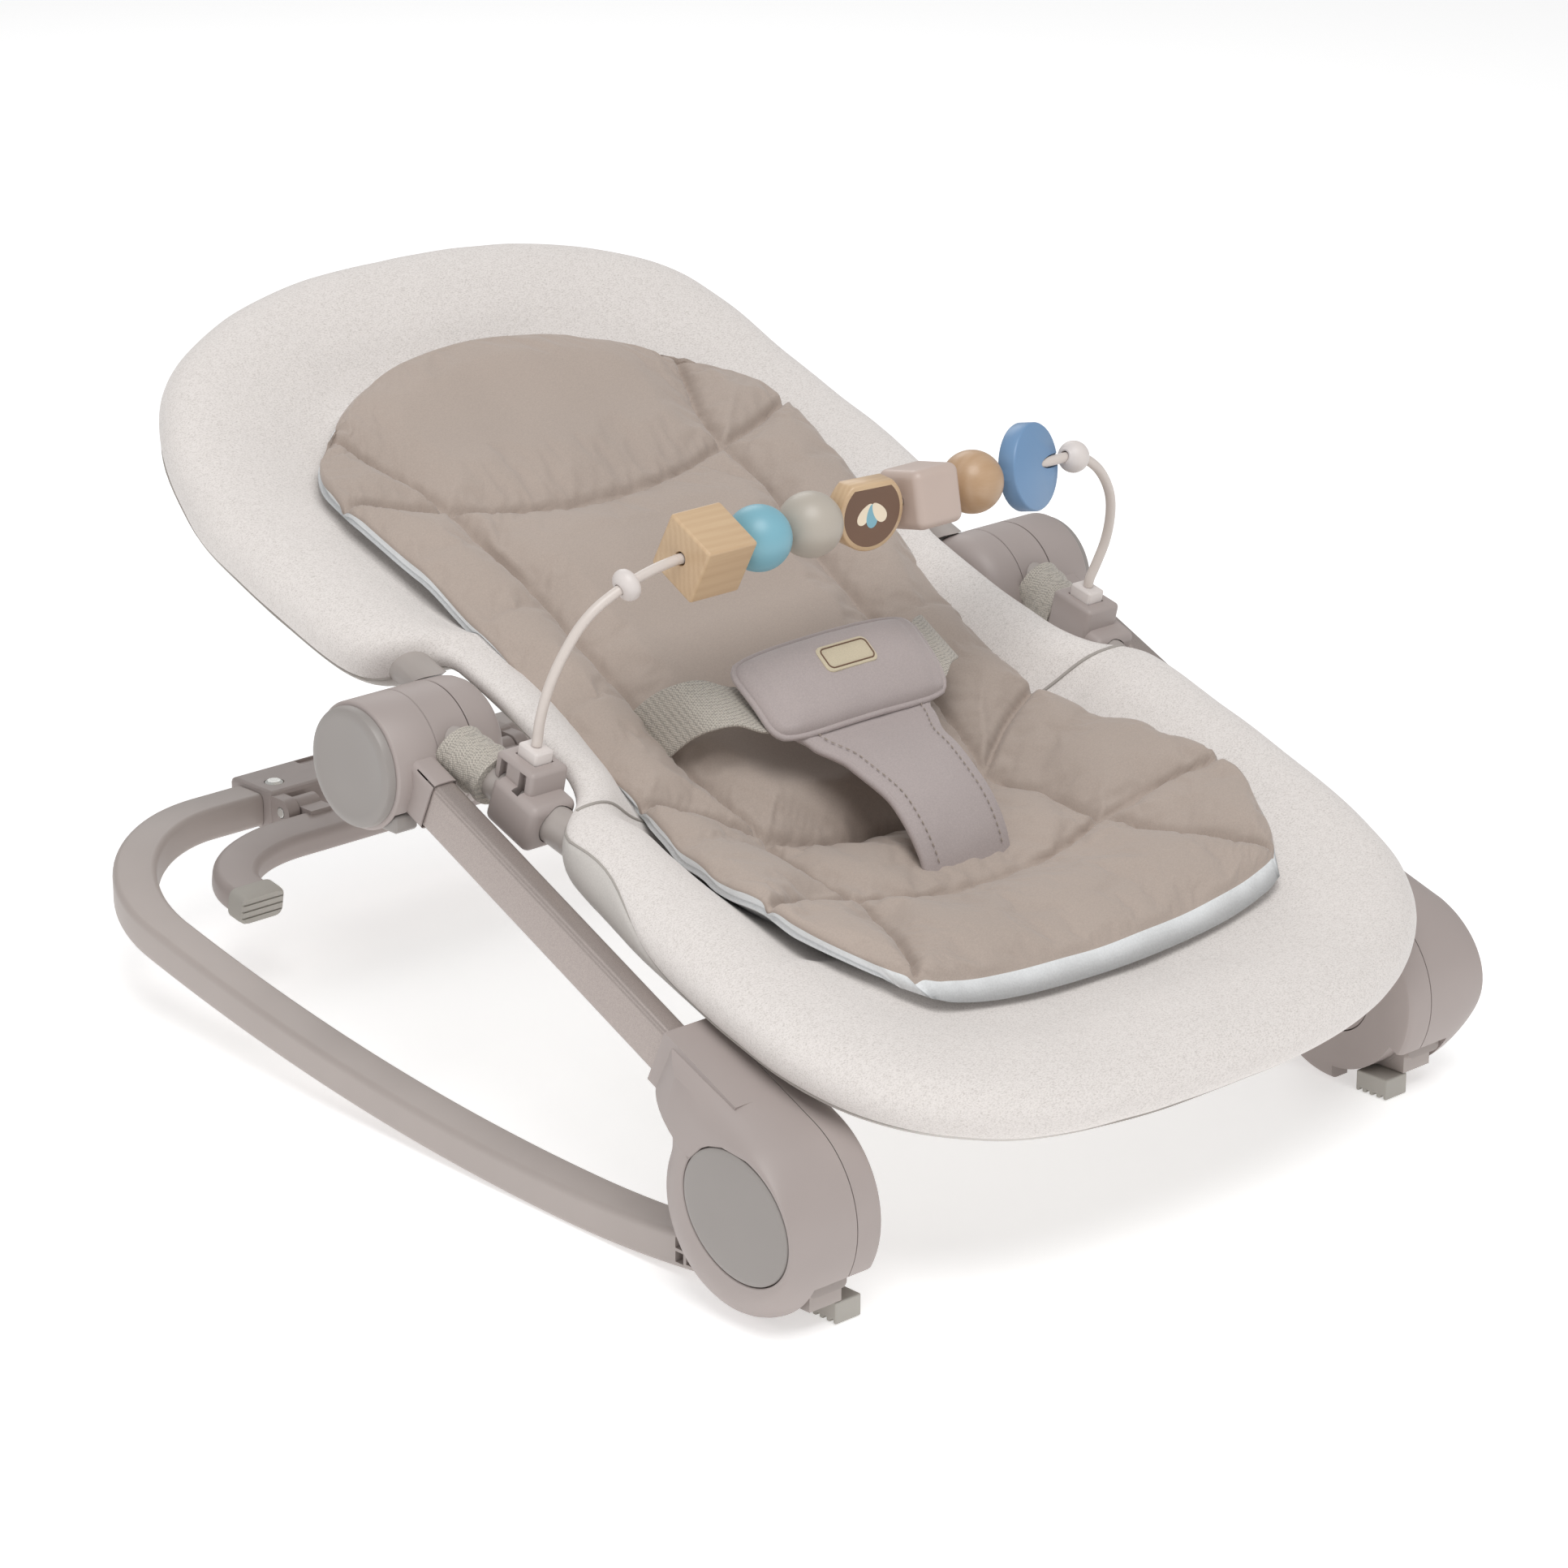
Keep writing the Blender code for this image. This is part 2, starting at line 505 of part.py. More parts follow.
knuckle = lathe_x("seat_knuckle_l", [(-X_UP_SEAM + 0.0002, UP_R), (-0.1705, UP_R)], UP_Y, UP_Z, SHELL, 32)
cut(knuckle, lathe_x("bore", [(-0.20, 0.0053), (-0.16, 0.0053)], UP_Y, UP_Z, SHELL, 20))
mirrored(knuckle, "seat_knuckle_r")
UP_ORIGIN = (0.0, UP_Y, UP_Z)
back_k = lathe_x("back_knuckle_l", [(-0.1700, UP_R), (-0.1600, UP_R - 0.0004), (-0.1540, UP_R - 0.0030),
                                    (-0.1505, UP_R - 0.0080), (-0.1490, UP_R - 0.0140)], UP_Y, UP_Z, SHELL, 32,
                 UP_ORIGIN)
cut(back_k, lathe_x("bore", [(-0.20, 0.0053), (-0.1520, 0.0053)], UP_Y, UP_Z, SHELL, 20))
mirrored(back_k, "back_knuckle_r")

# ---------------------------------------------------------------- seat lines
STEP = 0.0005


def slope_at(s):
    """Angle of the tube line at distance s behind the upper hub."""
    t = min(max((s - S_BEND) / BEND_LEN, 0.0), 1.0)
    return BETA + (BEND_TO - BETA) * t


def line_point(s, h=0.0, x=0.0):
    """A point s along the tube line and h above it."""
    y, z = UP_Y, TUBE_Z0 + SLOPE * UP_Y
    if s <= S_BEND:
        y, z = y + s * math.cos(BETA), z + s * math.sin(BETA)
    else:
        y, z = y + S_BEND * math.cos(BETA), z + S_BEND * math.sin(BETA)
        n = max(1, int(round((s - S_BEND) / STEP)))
        ds = (s - S_BEND) / n
        for k in range(n):
            a = slope_at(S_BEND + (k + 0.5) * ds)
            y, z = y + ds * math.cos(a), z + ds * math.sin(a)
    a = slope_at(s)
    return Vector((x, y - h * math.sin(a), z + h * math.cos(a)))


def smooth(t):
    t = min(max(t, 0.0), 1.0)
    return t * t * (3 - 2 * t)


def mix(table, s):
    """Smooth blend through (s, value) pairs."""
    if s <= table[0][0]:
        return table[0][1]
    for (s0, v0), (s1, v1) in zip(table, table[1:]):
        if s <= s1:
            return v0 + (v1 - v0) * smooth((s - s0) / (s1 - s0))
    return table[-1][1]


def corner(s, s_corner, s_end):
    """Half width of a loop whose corner starts at s_corner and closes at s_end."""
    t = (s - s_corner) / (s_end - s_corner)
    return HALF_W * max(0.0, 1 - max(t, 0.0) ** CORNER_POWER) ** (1 / CORNER_POWER)


def loop_path(start_x, start_s, straight, s_corner, s_end, steps=7):
    """Left half of a seat loop as (x, s), then mirrored to close round the end."""
    half = [(start_x, start_s)] + straight
    for k in range(1, steps + 1):
        a = math.pi / 2 * k / steps
        x = HALF_W * math.cos(a) ** (2 / CORNER_POWER) if k < steps else 0.0
        half.append((x, s_corner + (s_end - s_corner) * math.sin(a) ** (2 / CORNER_POWER)))
    half = [(-x, s) for x, s in half]
    return half + [(-x, s) for x, s in half[-2::-1]]


def loop_tube(name, pts, r, mat, n=10, wall=0.0):
    path = [line_point(s, 0.0, x) for x, s in pts]
    rings, holes = [], []
    for i, p in enumerate(path):
        t = (path[min(i + 1, len(path) - 1)] - path[max(i - 1, 0)]).normalized()
        a = slope_at(pts[i][1])
        nrm = Vector((0, -math.sin(a), math.cos(a)))
        nrm = (nrm - t * nrm.dot(t)).normalized()
        side = t.cross(nrm)
        rings.append([p + side * a1 + nrm * b1 for a1, b1 in circle(r, n)])
        holes.append([p + side * a1 + nrm * b1 for a1, b1 in circle(r - wall, n)])
    return make(name, *(hollow_skin(rings, holes) if wall else skin(rings)), mat)


seat_pts = loop_path(0.1798, -0.008, [(0.1790, -0.030), (0.1755, -0.052), (0.1730, -0.075),
                                      (0.1700, -0.100), (0.1695, -0.130), (0.1705, -0.165),
                                      (0.1710, -0.195), (HALF_W, SEAT_CORNER_S)],
                     SEAT_CORNER_S, SEAT_FRONT_S)
back_pts = loop_path(0.1595, 0.008, [(0.1600, 0.030), (0.1655, 0.050), (0.1695, 0.075),
                                     (HALF_W, 0.100), (HALF_W, HEAD_CORNER_S)],
                     HEAD_CORNER_S, HEAD_S, 8)
seat_frame = loop_tube("seat_frame", seat_pts, TUBE_R, STEEL, 10, TUBE_WALL)
back_frame = loop_tube("back_frame", back_pts, TUBE_R, STEEL, 10, TUBE_WALL)
for sx in (-1, 1):
    a, b = sorted((sx * 0.1450, sx * 0.1900))
    for frame in (seat_frame, back_frame):
        cut(frame, lathe_x("k", [(a, UP_R + GAP), (b, UP_R + GAP)], UP_Y, UP_Z, STEEL, 32))
# the inner hub shells are relieved where the padded rim passes over them
cut(inner, loop_tube("relief", [p for p in seat_pts if p[0] < 0 and -0.29 < p[1] < -0.12],
                     RIM_R + 0.0010, SHELL, 16))
mirrored(inner, "front_shell_inner_r")


# ---------------------------------------------------------------- soft goods
CENTRE_DEPTH = [(-0.325, -0.010), (-0.252, 0.004), (-0.200, 0.022), (-0.120, 0.046),
                (-0.060, 0.034), (0.0, 0.022), (0.055, 0.011), (0.100, 0.003), (0.263, -0.006)]
TOP_AT_RIM = 0.0112


def fabric_top(x, s, half):
    """Height of the cover's upper face over the tube line."""
    t = min(abs(x) / half, 1.0)
    return TOP_AT_RIM - (mix(CENTRE_DEPTH, s) + TOP_AT_RIM) * (1 - t * t) ** 1.4


def sheet(name, s_values, half_fn, top_fn, low_fn, mat, nx=16, edge=0.0):
    """A closed quilt-like solid over the tube line between two height functions."""
    top_rows, low_rows = [], []
    for s in s_values:
        w = half_fn(s)
        top_rows.append([line_point(s, top_fn(w * t, s), w * t) for t in np.linspace(-1, 1, nx + 1)])
        low_rows.append([line_point(s, low_fn(w * t, s), w * t) for t in np.linspace(-1, 1, nx + 1)])
    rows, n = len(s_values), nx + 1
    verts = [p for r in top_rows for p in r] + [p for r in low_rows for p in r]
    base, faces = rows * n, []
    for i in range(rows - 1):
        for j in range(nx):
            a = i * n + j
            faces.append((a, a + 1, a + n + 1, a + n))
            faces.append((base + a, base + a + n, base + a + n + 1, base + a + 1))
    for i in range(rows - 1):
        for j in (0, nx):
            a, b = i * n + j, (i + 1) * n + j
            faces.append((a, b, base + b, base + a))
    for i in (0, rows - 1):
        for j in range(nx):
            a = i * n + j
            faces.append((a, a + 1, base + a + 1, base + a))
    return make(name, verts, faces, mat, line_point(s_values[len(s_values) // 2]), 50)


SHEET = 0.0030
OPEN_W = 0.1370                 # the cover narrows beside the hubs and clips


def seat_half(s):
    if s < -0.105:
        return corner(-s, -SEAT_CORNER_S, -SEAT_FRONT_S) if s < SEAT_CORNER_S else 0.1700
    return mix([(-0.105, 0.1700), (-0.080, OPEN_W + 0.006), (-0.060, OPEN_W), (0.0, OPEN_W)], s)


def back_half(s):
    if s > HEAD_CORNER_S:
        return corner(s, HEAD_CORNER_S, HEAD_S)
    return mix([(0.010, OPEN_W), (0.040, OPEN_W + 0.004), (0.066, 0.1680), (0.100, HALF_W)], s)


def solid_cover(name, s_values, half_fn, rim_pts, frame_pts):
    body = sheet(name, s_values, half_fn, lambda x, s: fabric_top(x, s, max(half_fn(s), 0.09)),
                 lambda x, s: fabric_top(x, s, max(half_fn(s), 0.09)) - SHEET, JERSEY, 12)
    join(body, loop_tube("rim", rim_pts, RIM_R, JERSEY, 12))
    return cut(body, loop_tube("channel", frame_pts, CHANNEL_R, JERSEY, 10))


seat_rim = [p for p in seat_pts if p[1] <= -0.129]
seat_rim = [(-0.1697, -0.1060)] + seat_rim + [(0.1697, -0.1060)]
back_rim = [(-0.1690, 0.0720)] + [p for p in back_pts if p[1] >= 0.074] + [(0.1690, 0.0720)]
seat_s = [SEAT_FRONT_S + d for d in (0.006, 0.020, 0.040, 0.067, 0.100, 0.135, 0.170, 0.205, 0.222,
                                     0.234, 0.246, 0.265, 0.287, 0.309)]
back_s = [0.016, 0.036, 0.046, 0.056, 0.066, 0.080, 0.110, 0.140, 0.168, 0.195, 0.220, 0.240, 0.252,
          0.2585]
seat_cover = solid_cover("seat_cover", seat_s, seat_half, seat_rim, seat_pts)
back_cover = solid_cover("back_cover", back_s, back_half, back_rim, back_pts)

PAD_FRONT_S, PAD_HEAD_S = -0.2660, 0.2130
PAD_HALF = [(-0.262, 0.104), (-0.250, 0.1130), (-0.215, 0.1290), (-0.185, 0.1400), (-0.150, 0.1440),
            (-0.118, 0.1255), (-0.060, 0.1260), (0.020, 0.1260), (0.080, 0.1360), (0.130, 0.1400)]
PAD_THICK, PAD_CLEAR = 0.0125, 0.0036


def pad_half(s):
    if s <= 0.130:
        return mix(PAD_HALF, s)
    return 0.1400 * math.sqrt(max(0.0, 1 - ((s - 0.130) / (PAD_HEAD_S - 0.130)) ** 2.3))


def cover_half(s):
    return max(seat_half(s) if s < 0 else back_half(s), 0.09)


def pad_low(x, s):
    edge = max(0.0, abs(x) / pad_half(s) - 0.75) / 0.25
    lift = 0.0060 * edge * edge
    return fabric_top(x, s, cover_half(s)) + PAD_CLEAR + lift


def pad_top(x, s):
    t = abs(x) / max(pad_half(s), 0.01)
    ends = min(1.0, (s - PAD_FRONT_S) / 0.020, (PAD_HEAD_S - s) / 0.020)
    crown = max(0.30, math.sqrt(max(0.0, 1 - t ** 6)) * math.sqrt(max(0.0, ends)))
    return pad_low(x, s) + PAD_THICK * crown


pad_s = [PAD_FRONT_S + d for d in (0.001, 0.005, 0.012, 0.022, 0.040, 0.062, 0.086, 0.110, 0.130, 0.148,
                                   0.170, 0.200, 0.228, 0.250)]
pad_b = [0.016, 0.035, 0.058, 0.080, 0.105, 0.130, 0.150, 0.168, 0.183, 0.195, 0.204, 0.210, 0.2125]
pad_seat = sheet("insert_seat_pad", pad_s, pad_half, pad_top, pad_low, PADM, 12)
pad_back = sheet("insert_back_pad", pad_b, pad_half, pad_top, pad_low, PADM, 12)


def pad_surface(x, s):
    return line_point(s, pad_top(x, s), x)


# harness: padded crotch strap, folded flap with its label, two lap webbings
def strip(name, centres, normals, half_widths, thick, mat, axis=Vector((1, 0, 0)), origin=None, angle=50):
    rings = []
    for c, nrm, w in zip(centres, normals, half_widths):
        r = min(0.0015, thick * 0.4)
        side, k = axis, thick / 2
        rings.append([c + side * (w - r) + nrm * k, c + side * w + nrm * (k - r), c + side * w - nrm * (k - r),
                      c + side * (w - r) - nrm * k, c - side * (w - r) - nrm * k, c - side * w - nrm * (k - r),
                      c - side * w + nrm * (k - r), c - side * (w - r) + nrm * k])
    return make(name, *skin(rings), mat, origin or centres[0], angle)


def normals_of(points, axis=Vector((1, 0, 0))):
    out = []
    for i in range(len(points)):
        t = (points[min(i + 1, len(points) - 1)] - points[max(i - 1, 0)]).normalized()
        out.append(axis.cross(t).normalized())
    return out


FLAP_C, FLAP_N = Vector((0, 0.1525, 0.1990)), Vector((0, -0.666, 0.746))
FLAP_DOWN = Vector((0, -0.746, -0.666))
UNDER_FLAP = -0.0072            # the strap runs on behind the flap
S_STRAP = -0.1730
foot_pt = pad_surface(0, S_STRAP) + Vector((0, -0.001, 0.0030))
strap = [foot_pt, Vector((0, 0.0800, 0.1410)), Vector((0, 0.0945, 0.1560)), Vector((0, 0.1110, 0.1655))]
strap += [FLAP_C + FLAP_DOWN * d + FLAP_N * k for d, k in ((0.034, -0.0036), (0.0240, UNDER_FLAP),
                                                          (0.0120, UNDER_FLAP), (-0.0050, UNDER_FLAP))]
widths = [0.0262, 0.0262, 0.0265, 0.0300, 0.0370, 0.0440, 0.0480, 0.0480]
strip("crotch_strap", strap, normals_of(strap), widths, 0.0050, HARN)
flap_rows = [FLAP_C + FLAP_DOWN * d for d in (-0.0225, -0.0170, 0.0, 0.0170, 0.0225)]
strip("harness_flap", flap_rows, [FLAP_N] * 5, [0.0480, 0.0545, 0.0560, 0.0545, 0.0470], 0.0075, HARN)
patch_c = FLAP_C - FLAP_DOWN * 0.0060 + FLAP_N * (0.00375 + GAP + 0.0004)
strip("label_patch", [patch_c + FLAP_DOWN * d for d in (-0.0065, 0.0065)], [FLAP_N] * 2, [0.0150, 0.0150],
      0.0008, LABEL)
for sx, tag in ((-1, "l"), (1, "r")):
    start = pad_surface(sx * 0.0850, -0.0480) + Vector((0, 0, 0.0028))
    end = Vector((sx * 0.0590, 0.1590, 0.1905))
    mid = (start + end) / 2 + Vector((sx * 0.004, -0.004, 0.010))
    pts = [start, (start + mid) / 2 + Vector((0, 0, 0.003)), mid, (mid + end) / 2 + Vector((0, 0, 0.0025)), end]
    along = Vector((0, 0.86, 0.50)).normalized()
    strip("lap_webbing_" + tag, pts, normals_of(pts, along), [0.0140] * 5, 0.0016, WEB, along)

# ---------------------------------------------------------------- toy bar
clip_c = line_point(CLIP_S, 0.0, -0.1730)
clip_t = Vector((0, math.cos(BETA), math.sin(BETA)))
clip_n = Vector((0, -math.sin(BETA), math.cos(BETA)))


def block(name, centre, half_x, half_t, lo_n, hi_n, mat, bevel=0.0, t=clip_t, n=clip_n):
    rings = [[centre + Vector((sx * half_x, 0, 0)) + t * a + n * b
              for a, b in ((-half_t, lo_n), (half_t, lo_n), (half_t, hi_n), (-half_t, hi_n))] for sx in (-1, 1)]
    ob = make(name, *skin(rings), mat, centre)
    if bevel:
        mod = ob.modifiers.new("edges", "BEVEL")
        mod.width, mod.segments, mod.limit_method = bevel, 2, "ANGLE"
        apply_all(ob)
    return ob


clip = block("toy_clip_l", clip_c, 0.0150, 0.0165, -0.0135, 0.0125, SHELL, 0.0020)
lean_t = Vector((0, BAR_LEAN.z, -BAR_LEAN.y))
plug_foot = Vector((-ARCH_X, 0.1700, 0.1870)) - BAR_LEAN * 0.0040
join(clip, block("turret", plug_foot + BAR_LEAN * 0.004, 0.0085, 0.0105, -0.006, 0.0105, SHELL, 0.0,
                 lean_t, BAR_LEAN))
cut(clip, loop_tube("bore", [p for p in seat_pts if p[0] < 0 and -0.14 < p[1] < -0.02], CHANNEL_R, SHELL, 16))
cut(clip, block("plug_hole", plug_foot, 0.0053, 0.0068, 0.0035, 0.030, SHELL, 0.0, lean_t, BAR_LEAN))
mirrored(clip, "toy_clip_r")
plug = block("toy_plug_l", plug_foot, 0.0050, 0.0065, 0.0040, 0.0175, BEADP, 0.0010, lean_t, BAR_LEAN)
mirrored(plug, "toy_plug_r")


def rod_point(x, z):
    """Points of the arch lie in the leaning plane through both plugs."""
    return Vector((x, 0.1700 + (z - 0.1870) * BAR_LEAN.y / BAR_LEAN.z, z))


def rod_path():
    foot = plug_foot + BAR_LEAN * (0.0175 + GAP)
    near = [(0.1702, 0.2115), (0.1690, 0.2228), (0.1660, 0.2338), (0.1612, 0.2443),
            (0.1550, 0.2538), (0.1460, 0.2615), (0.1320, 0.2680), (0.1195, 0.2717), (0.1060, 0.2738),
            (0.0950, 0.2740)]
    far = [(0.1725, 0.2120), (0.1752, 0.2225), (0.1752, 0.2340), (0.1725, 0.2450),
           (0.1670, 0.2545), (0.1590, 0.2632), (0.1490, 0.2700), (0.1400, 0.2731), (0.1310, 0.2740)]
    start = [(ARCH_X, foot.z), (ARCH_X, foot.z + 0.0040)]
    return ([rod_point(-x, z) for x, z in start + near] + [rod_point(0, ARCH_TOP_Z)]
            + [rod_point(x, z) for x, z in (start + far)[::-1]])


rod = tube("toy_rod", rod_path(), ROD_R, RODM, 8, lean_t)
TOP_Y = rod_point(0, ARCH_TOP_Z).y
BEAD_BORE = ROD_R + 0.0006


def bead(name, x, mat, profile, n=24):
    """Turned bead round the rod; profile in (offset along X, radius)."""
    outer = profile
    rings = []
    for dx, r in [(outer[0][0], BEAD_BORE)] + outer + [(outer[-1][0], BEAD_BORE)]:
        rings.append([Vector((x + dx, TOP_Y + r * math.cos(2 * math.pi * i / n),
                              ARCH_TOP_Z + r * math.sin(2 * math.pi * i / n))) for i in range(n)])
    verts, faces = skin(rings, closed=True)
    return make(name, verts, faces, mat, (x, TOP_Y, ARCH_TOP_Z))


def ball(r, flat=0.0034, n=9):
    a0 = math.asin(flat / r)
    return [(-r * math.cos(a0 + (math.pi - 2 * a0) * k / n), r * math.sin(a0 + (math.pi - 2 * a0) * k / n))
            for k in range(n + 1)]


def bored(ob, x, half=0.03):
    return cut(ob, lathe_x("bore", [(x - half, BEAD_BORE), (x + half, BEAD_BORE)], TOP_Y, ARCH_TOP_Z, WOOD, 16))


def cube_bead(name, x, size, turn, bevel, mat):
    t = Vector((0, math.cos(turn), math.sin(turn)))
    n = Vector((0, -math.sin(turn), math.cos(turn)))
    c = Vector((x, TOP_Y, ARCH_TOP_Z))
    ob = block(name, c, size / 2, size / 2, -size / 2, size / 2, mat, bevel, t, n)
    return bored(ob, x)


cube_bead("bead_wood_cube", -0.0885, 0.0285, math.radians(28), 0.0022, WOOD)
bead("bead_blue_ball", -0.0570, BLUE, ball(0.0149))
bead("bead_sage_ball", -0.0264, SAGE, ball(0.0149))
DISC_R, DISC_X = 0.0178, 0.0068


def disc_bead(name, x, yaw, pitch, outline, half, mat):
    """Flat bead drilled through its edge; the face looks towards the foot end."""
    q, p = math.radians(yaw), math.radians(pitch)
    n = Vector((math.sin(q), -math.cos(q) * math.cos(p), math.cos(q) * math.sin(p)))
    side = Vector((math.cos(q), math.sin(q) * math.cos(p), -math.sin(q) * math.sin(p)))
    top = n.cross(side) * -1
    rings = [[Vector((x, TOP_Y, ARCH_TOP_Z)) + side * u * k + top * v * k + n * d for u, v in outline]
             for d, k in ((-half, 0.95), (0.0010 - half, 1.0), (half - 0.0010, 1.0), (half, 0.95))]
    return bored(make(name, *skin(rings), mat, (x, TOP_Y, ARCH_TOP_Z)), x)


disc = [(DISC_R * math.cos(math.radians(a)), DISC_R * math.sin(math.radians(a))) for a in range(-52, 233, 12)]
disc_bead("bead_face_disc", DISC_X, -6, -3, disc, 0.0054, WOOD)
cube_bead("bead_pink_cube", 0.0413, 0.0272, math.radians(-10), 0.0045, PINK)
bead("bead_wood_ball", 0.0738, BALLW, ball(0.0146))
disc_bead("bead_blue_disc", 0.1100, 16, 10, circle(0.0204, 30), 0.0046, SKY)
STOP_R = ROD_R + 0.0010
for name, x, z, pitch, prof in (("end_bead_l", -0.1320, 0.26800, 20.5,
                                 [(-0.0042, 0.0038), (-0.0036, 0.0055), (0.0, 0.0074), (0.0036, 0.0055),
                                  (0.0042, 0.0038)]),
                                ("end_bead_r", 0.1400, 0.27310, -13.5,
                                 [(-0.0066, 0.0038), (-0.0046, 0.0060), (0.0, 0.0075), (0.0046, 0.0060),
                                  (0.0066, 0.0038)])):
    n, a, c = 16, math.radians(pitch), rod_point(x, z)
    along = Vector((math.cos(a), BAR_LEAN.y * math.sin(a), BAR_LEAN.z * math.sin(a)))
    across = along.cross(lean_t)
    rings = [[c + along * dx + lean_t * (r * math.cos(2 * math.pi * i / n))
              + across * (r * math.sin(2 * math.pi * i / n)) for i in range(n)]
             for dx, r in [(prof[0][0], STOP_R)] + prof + [(prof[-1][0], STOP_R)]]
    make(name, *skin(rings, closed=True), BEADP, c)

# ---------------------------------------------------------------- placement
for ob in bpy.data.objects:
    ob.location.y += Y_SHIFT
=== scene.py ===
"""Looks of the baby bouncer seat: plastics, metal, padded cover, quilted insert,
harness and toy bar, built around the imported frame. Metres, +Z up; y values are
measured from the front hub axis and moved once by SHIFT, as in the frame."""
import json
import math

import bmesh
import bpy
import numpy as np
from mathutils import Matrix, Vector, noise
from mathutils.bvhtree import BVHTree


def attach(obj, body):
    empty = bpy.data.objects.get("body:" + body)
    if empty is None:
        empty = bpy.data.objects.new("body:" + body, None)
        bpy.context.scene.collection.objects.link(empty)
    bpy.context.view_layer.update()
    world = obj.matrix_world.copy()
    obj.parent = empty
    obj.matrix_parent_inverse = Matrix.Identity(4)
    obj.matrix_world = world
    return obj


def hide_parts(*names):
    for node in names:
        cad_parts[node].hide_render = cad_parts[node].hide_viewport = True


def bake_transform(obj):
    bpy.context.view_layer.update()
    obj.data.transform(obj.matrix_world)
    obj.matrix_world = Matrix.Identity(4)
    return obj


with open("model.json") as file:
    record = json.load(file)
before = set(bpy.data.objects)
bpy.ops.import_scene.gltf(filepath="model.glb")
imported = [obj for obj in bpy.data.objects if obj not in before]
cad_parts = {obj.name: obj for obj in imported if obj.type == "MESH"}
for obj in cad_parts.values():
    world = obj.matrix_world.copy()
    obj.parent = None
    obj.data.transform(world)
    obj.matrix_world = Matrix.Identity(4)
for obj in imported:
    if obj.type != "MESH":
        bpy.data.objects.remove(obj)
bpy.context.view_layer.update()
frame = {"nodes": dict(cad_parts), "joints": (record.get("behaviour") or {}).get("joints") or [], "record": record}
JOINTS = {j["name"]: j for j in frame["joints"]}
SHIFT = Vector((0, JOINTS["strut_fold"]["pos_m"][1], 0))
HUB_Z = JOINTS["strut_fold"]["pos_m"][2]
UP_Y = JOINTS["recline"]["pos_m"][1] - SHIFT.y
UP_Z = JOINTS["recline"]["pos_m"][2]
HINGE_Y = JOINTS["stand_swing"]["pos_m"][1] - SHIFT.y
HINGE_Z = JOINTS["stand_swing"]["pos_m"][2]


# ---------------------------------------------------------------- materials
def linear(rgb):
    return tuple(c / 12.92 if c <= 0.04045 else ((c + 0.055) / 1.055) ** 2.4 for c in rgb)


def hexa(text):
    return tuple(int(text[i:i + 2], 16) / 255 for i in (0, 2, 4))


def scaled(rgb, k):
    return tuple(min(1.0, c * k) for c in rgb)


class Mat:
    """A small helper that keeps node wiring short."""

    def __init__(self, name, rough, metal=0.0, **sockets):
        self.mat = bpy.data.materials.new(name)
        self.mat.use_nodes = True
        self.tree = self.mat.node_tree
        self.bsdf = self.tree.nodes["Principled BSDF"]
        self.bsdf.inputs["Roughness"].default_value = rough
        self.bsdf.inputs["Metallic"].default_value = metal
        for key, value in sockets.items():
            self.bsdf.inputs[key.replace("_", " ")].default_value = value

    def node(self, kind, **values):
        n = self.tree.nodes.new(kind)
        for key, value in values.items():
            if key in n.inputs:
                n.inputs[key].default_value = value
            else:
                setattr(n, key, value)
        return n

    def link(self, a, b):
        self.tree.links.new(a, b)

    def coords(self, scale=(1, 1, 1), rotation=(0, 0, 0)):
        tc = self.node("ShaderNodeTexCoord")
        mp = self.node("ShaderNodeMapping")
        mp.inputs["Scale"].default_value = scale
        mp.inputs["Rotation"].default_value = rotation
        self.link(tc.outputs["Object"], mp.inputs["Vector"])
        return mp.outputs["Vector"]

    def noise(self, vec, scale, detail=2.0, rough=0.5, distortion=0.0):
        n = self.node("ShaderNodeTexNoise", Scale=scale, Detail=detail, Roughness=rough,
                      Distortion=distortion)
        self.link(vec, n.inputs["Vector"])
        return n.outputs["Fac"]

    def ramp(self, fac, stops):
        r = self.node("ShaderNodeValToRGB")
        els = r.color_ramp.elements
        while len(els) < len(stops):
            els.new(0.5)
        for el, (pos, rgb) in zip(els, stops):
            el.position, el.color = pos, (*linear(rgb), 1)
        self.link(fac, r.inputs["Fac"])
        return r.outputs["Color"]

    def mix(self, fac, a, b, blend="MIX"):
        m = self.node("ShaderNodeMix", data_type="RGBA", blend_type=blend)
        if isinstance(fac, float):
            m.inputs[0].default_value = fac
        else:
            self.link(fac, m.inputs[0])
        self.link(a, m.inputs[6])
        self.link(b, m.inputs[7])
        return m.outputs[2]

    def math(self, op, a, b=None):
        m = self.node("ShaderNodeMath", operation=op)
        for i, v in enumerate((a, b)):
            if v is None:
                continue
            if isinstance(v, (int, float)):
                m.inputs[i].default_value = v
            else:
                self.link(v, m.inputs[i])
        return m.outputs[0]

    def rough_from(self, fac, lo, hi):
        m = self.node("ShaderNodeMapRange")
        m.inputs["To Min"].default_value, m.inputs["To Max"].default_value = lo, hi
        self.link(fac, m.inputs["Value"])
        self.link(m.outputs[0], self.bsdf.inputs["Roughness"])

    def bump(self, height, strength, distance, under=None):
        b = self.node("ShaderNodeBump", Strength=strength, Distance=distance)
        self.link(height, b.inputs["Height"])
        if under is not None:
            self.link(under, b.inputs["Normal"])
        self.link(b.outputs[0], self.bsdf.inputs["Normal"])
        return b.outputs[0]

    def colour(self, socket):
        self.link(socket, self.bsdf.inputs["Base Color"])


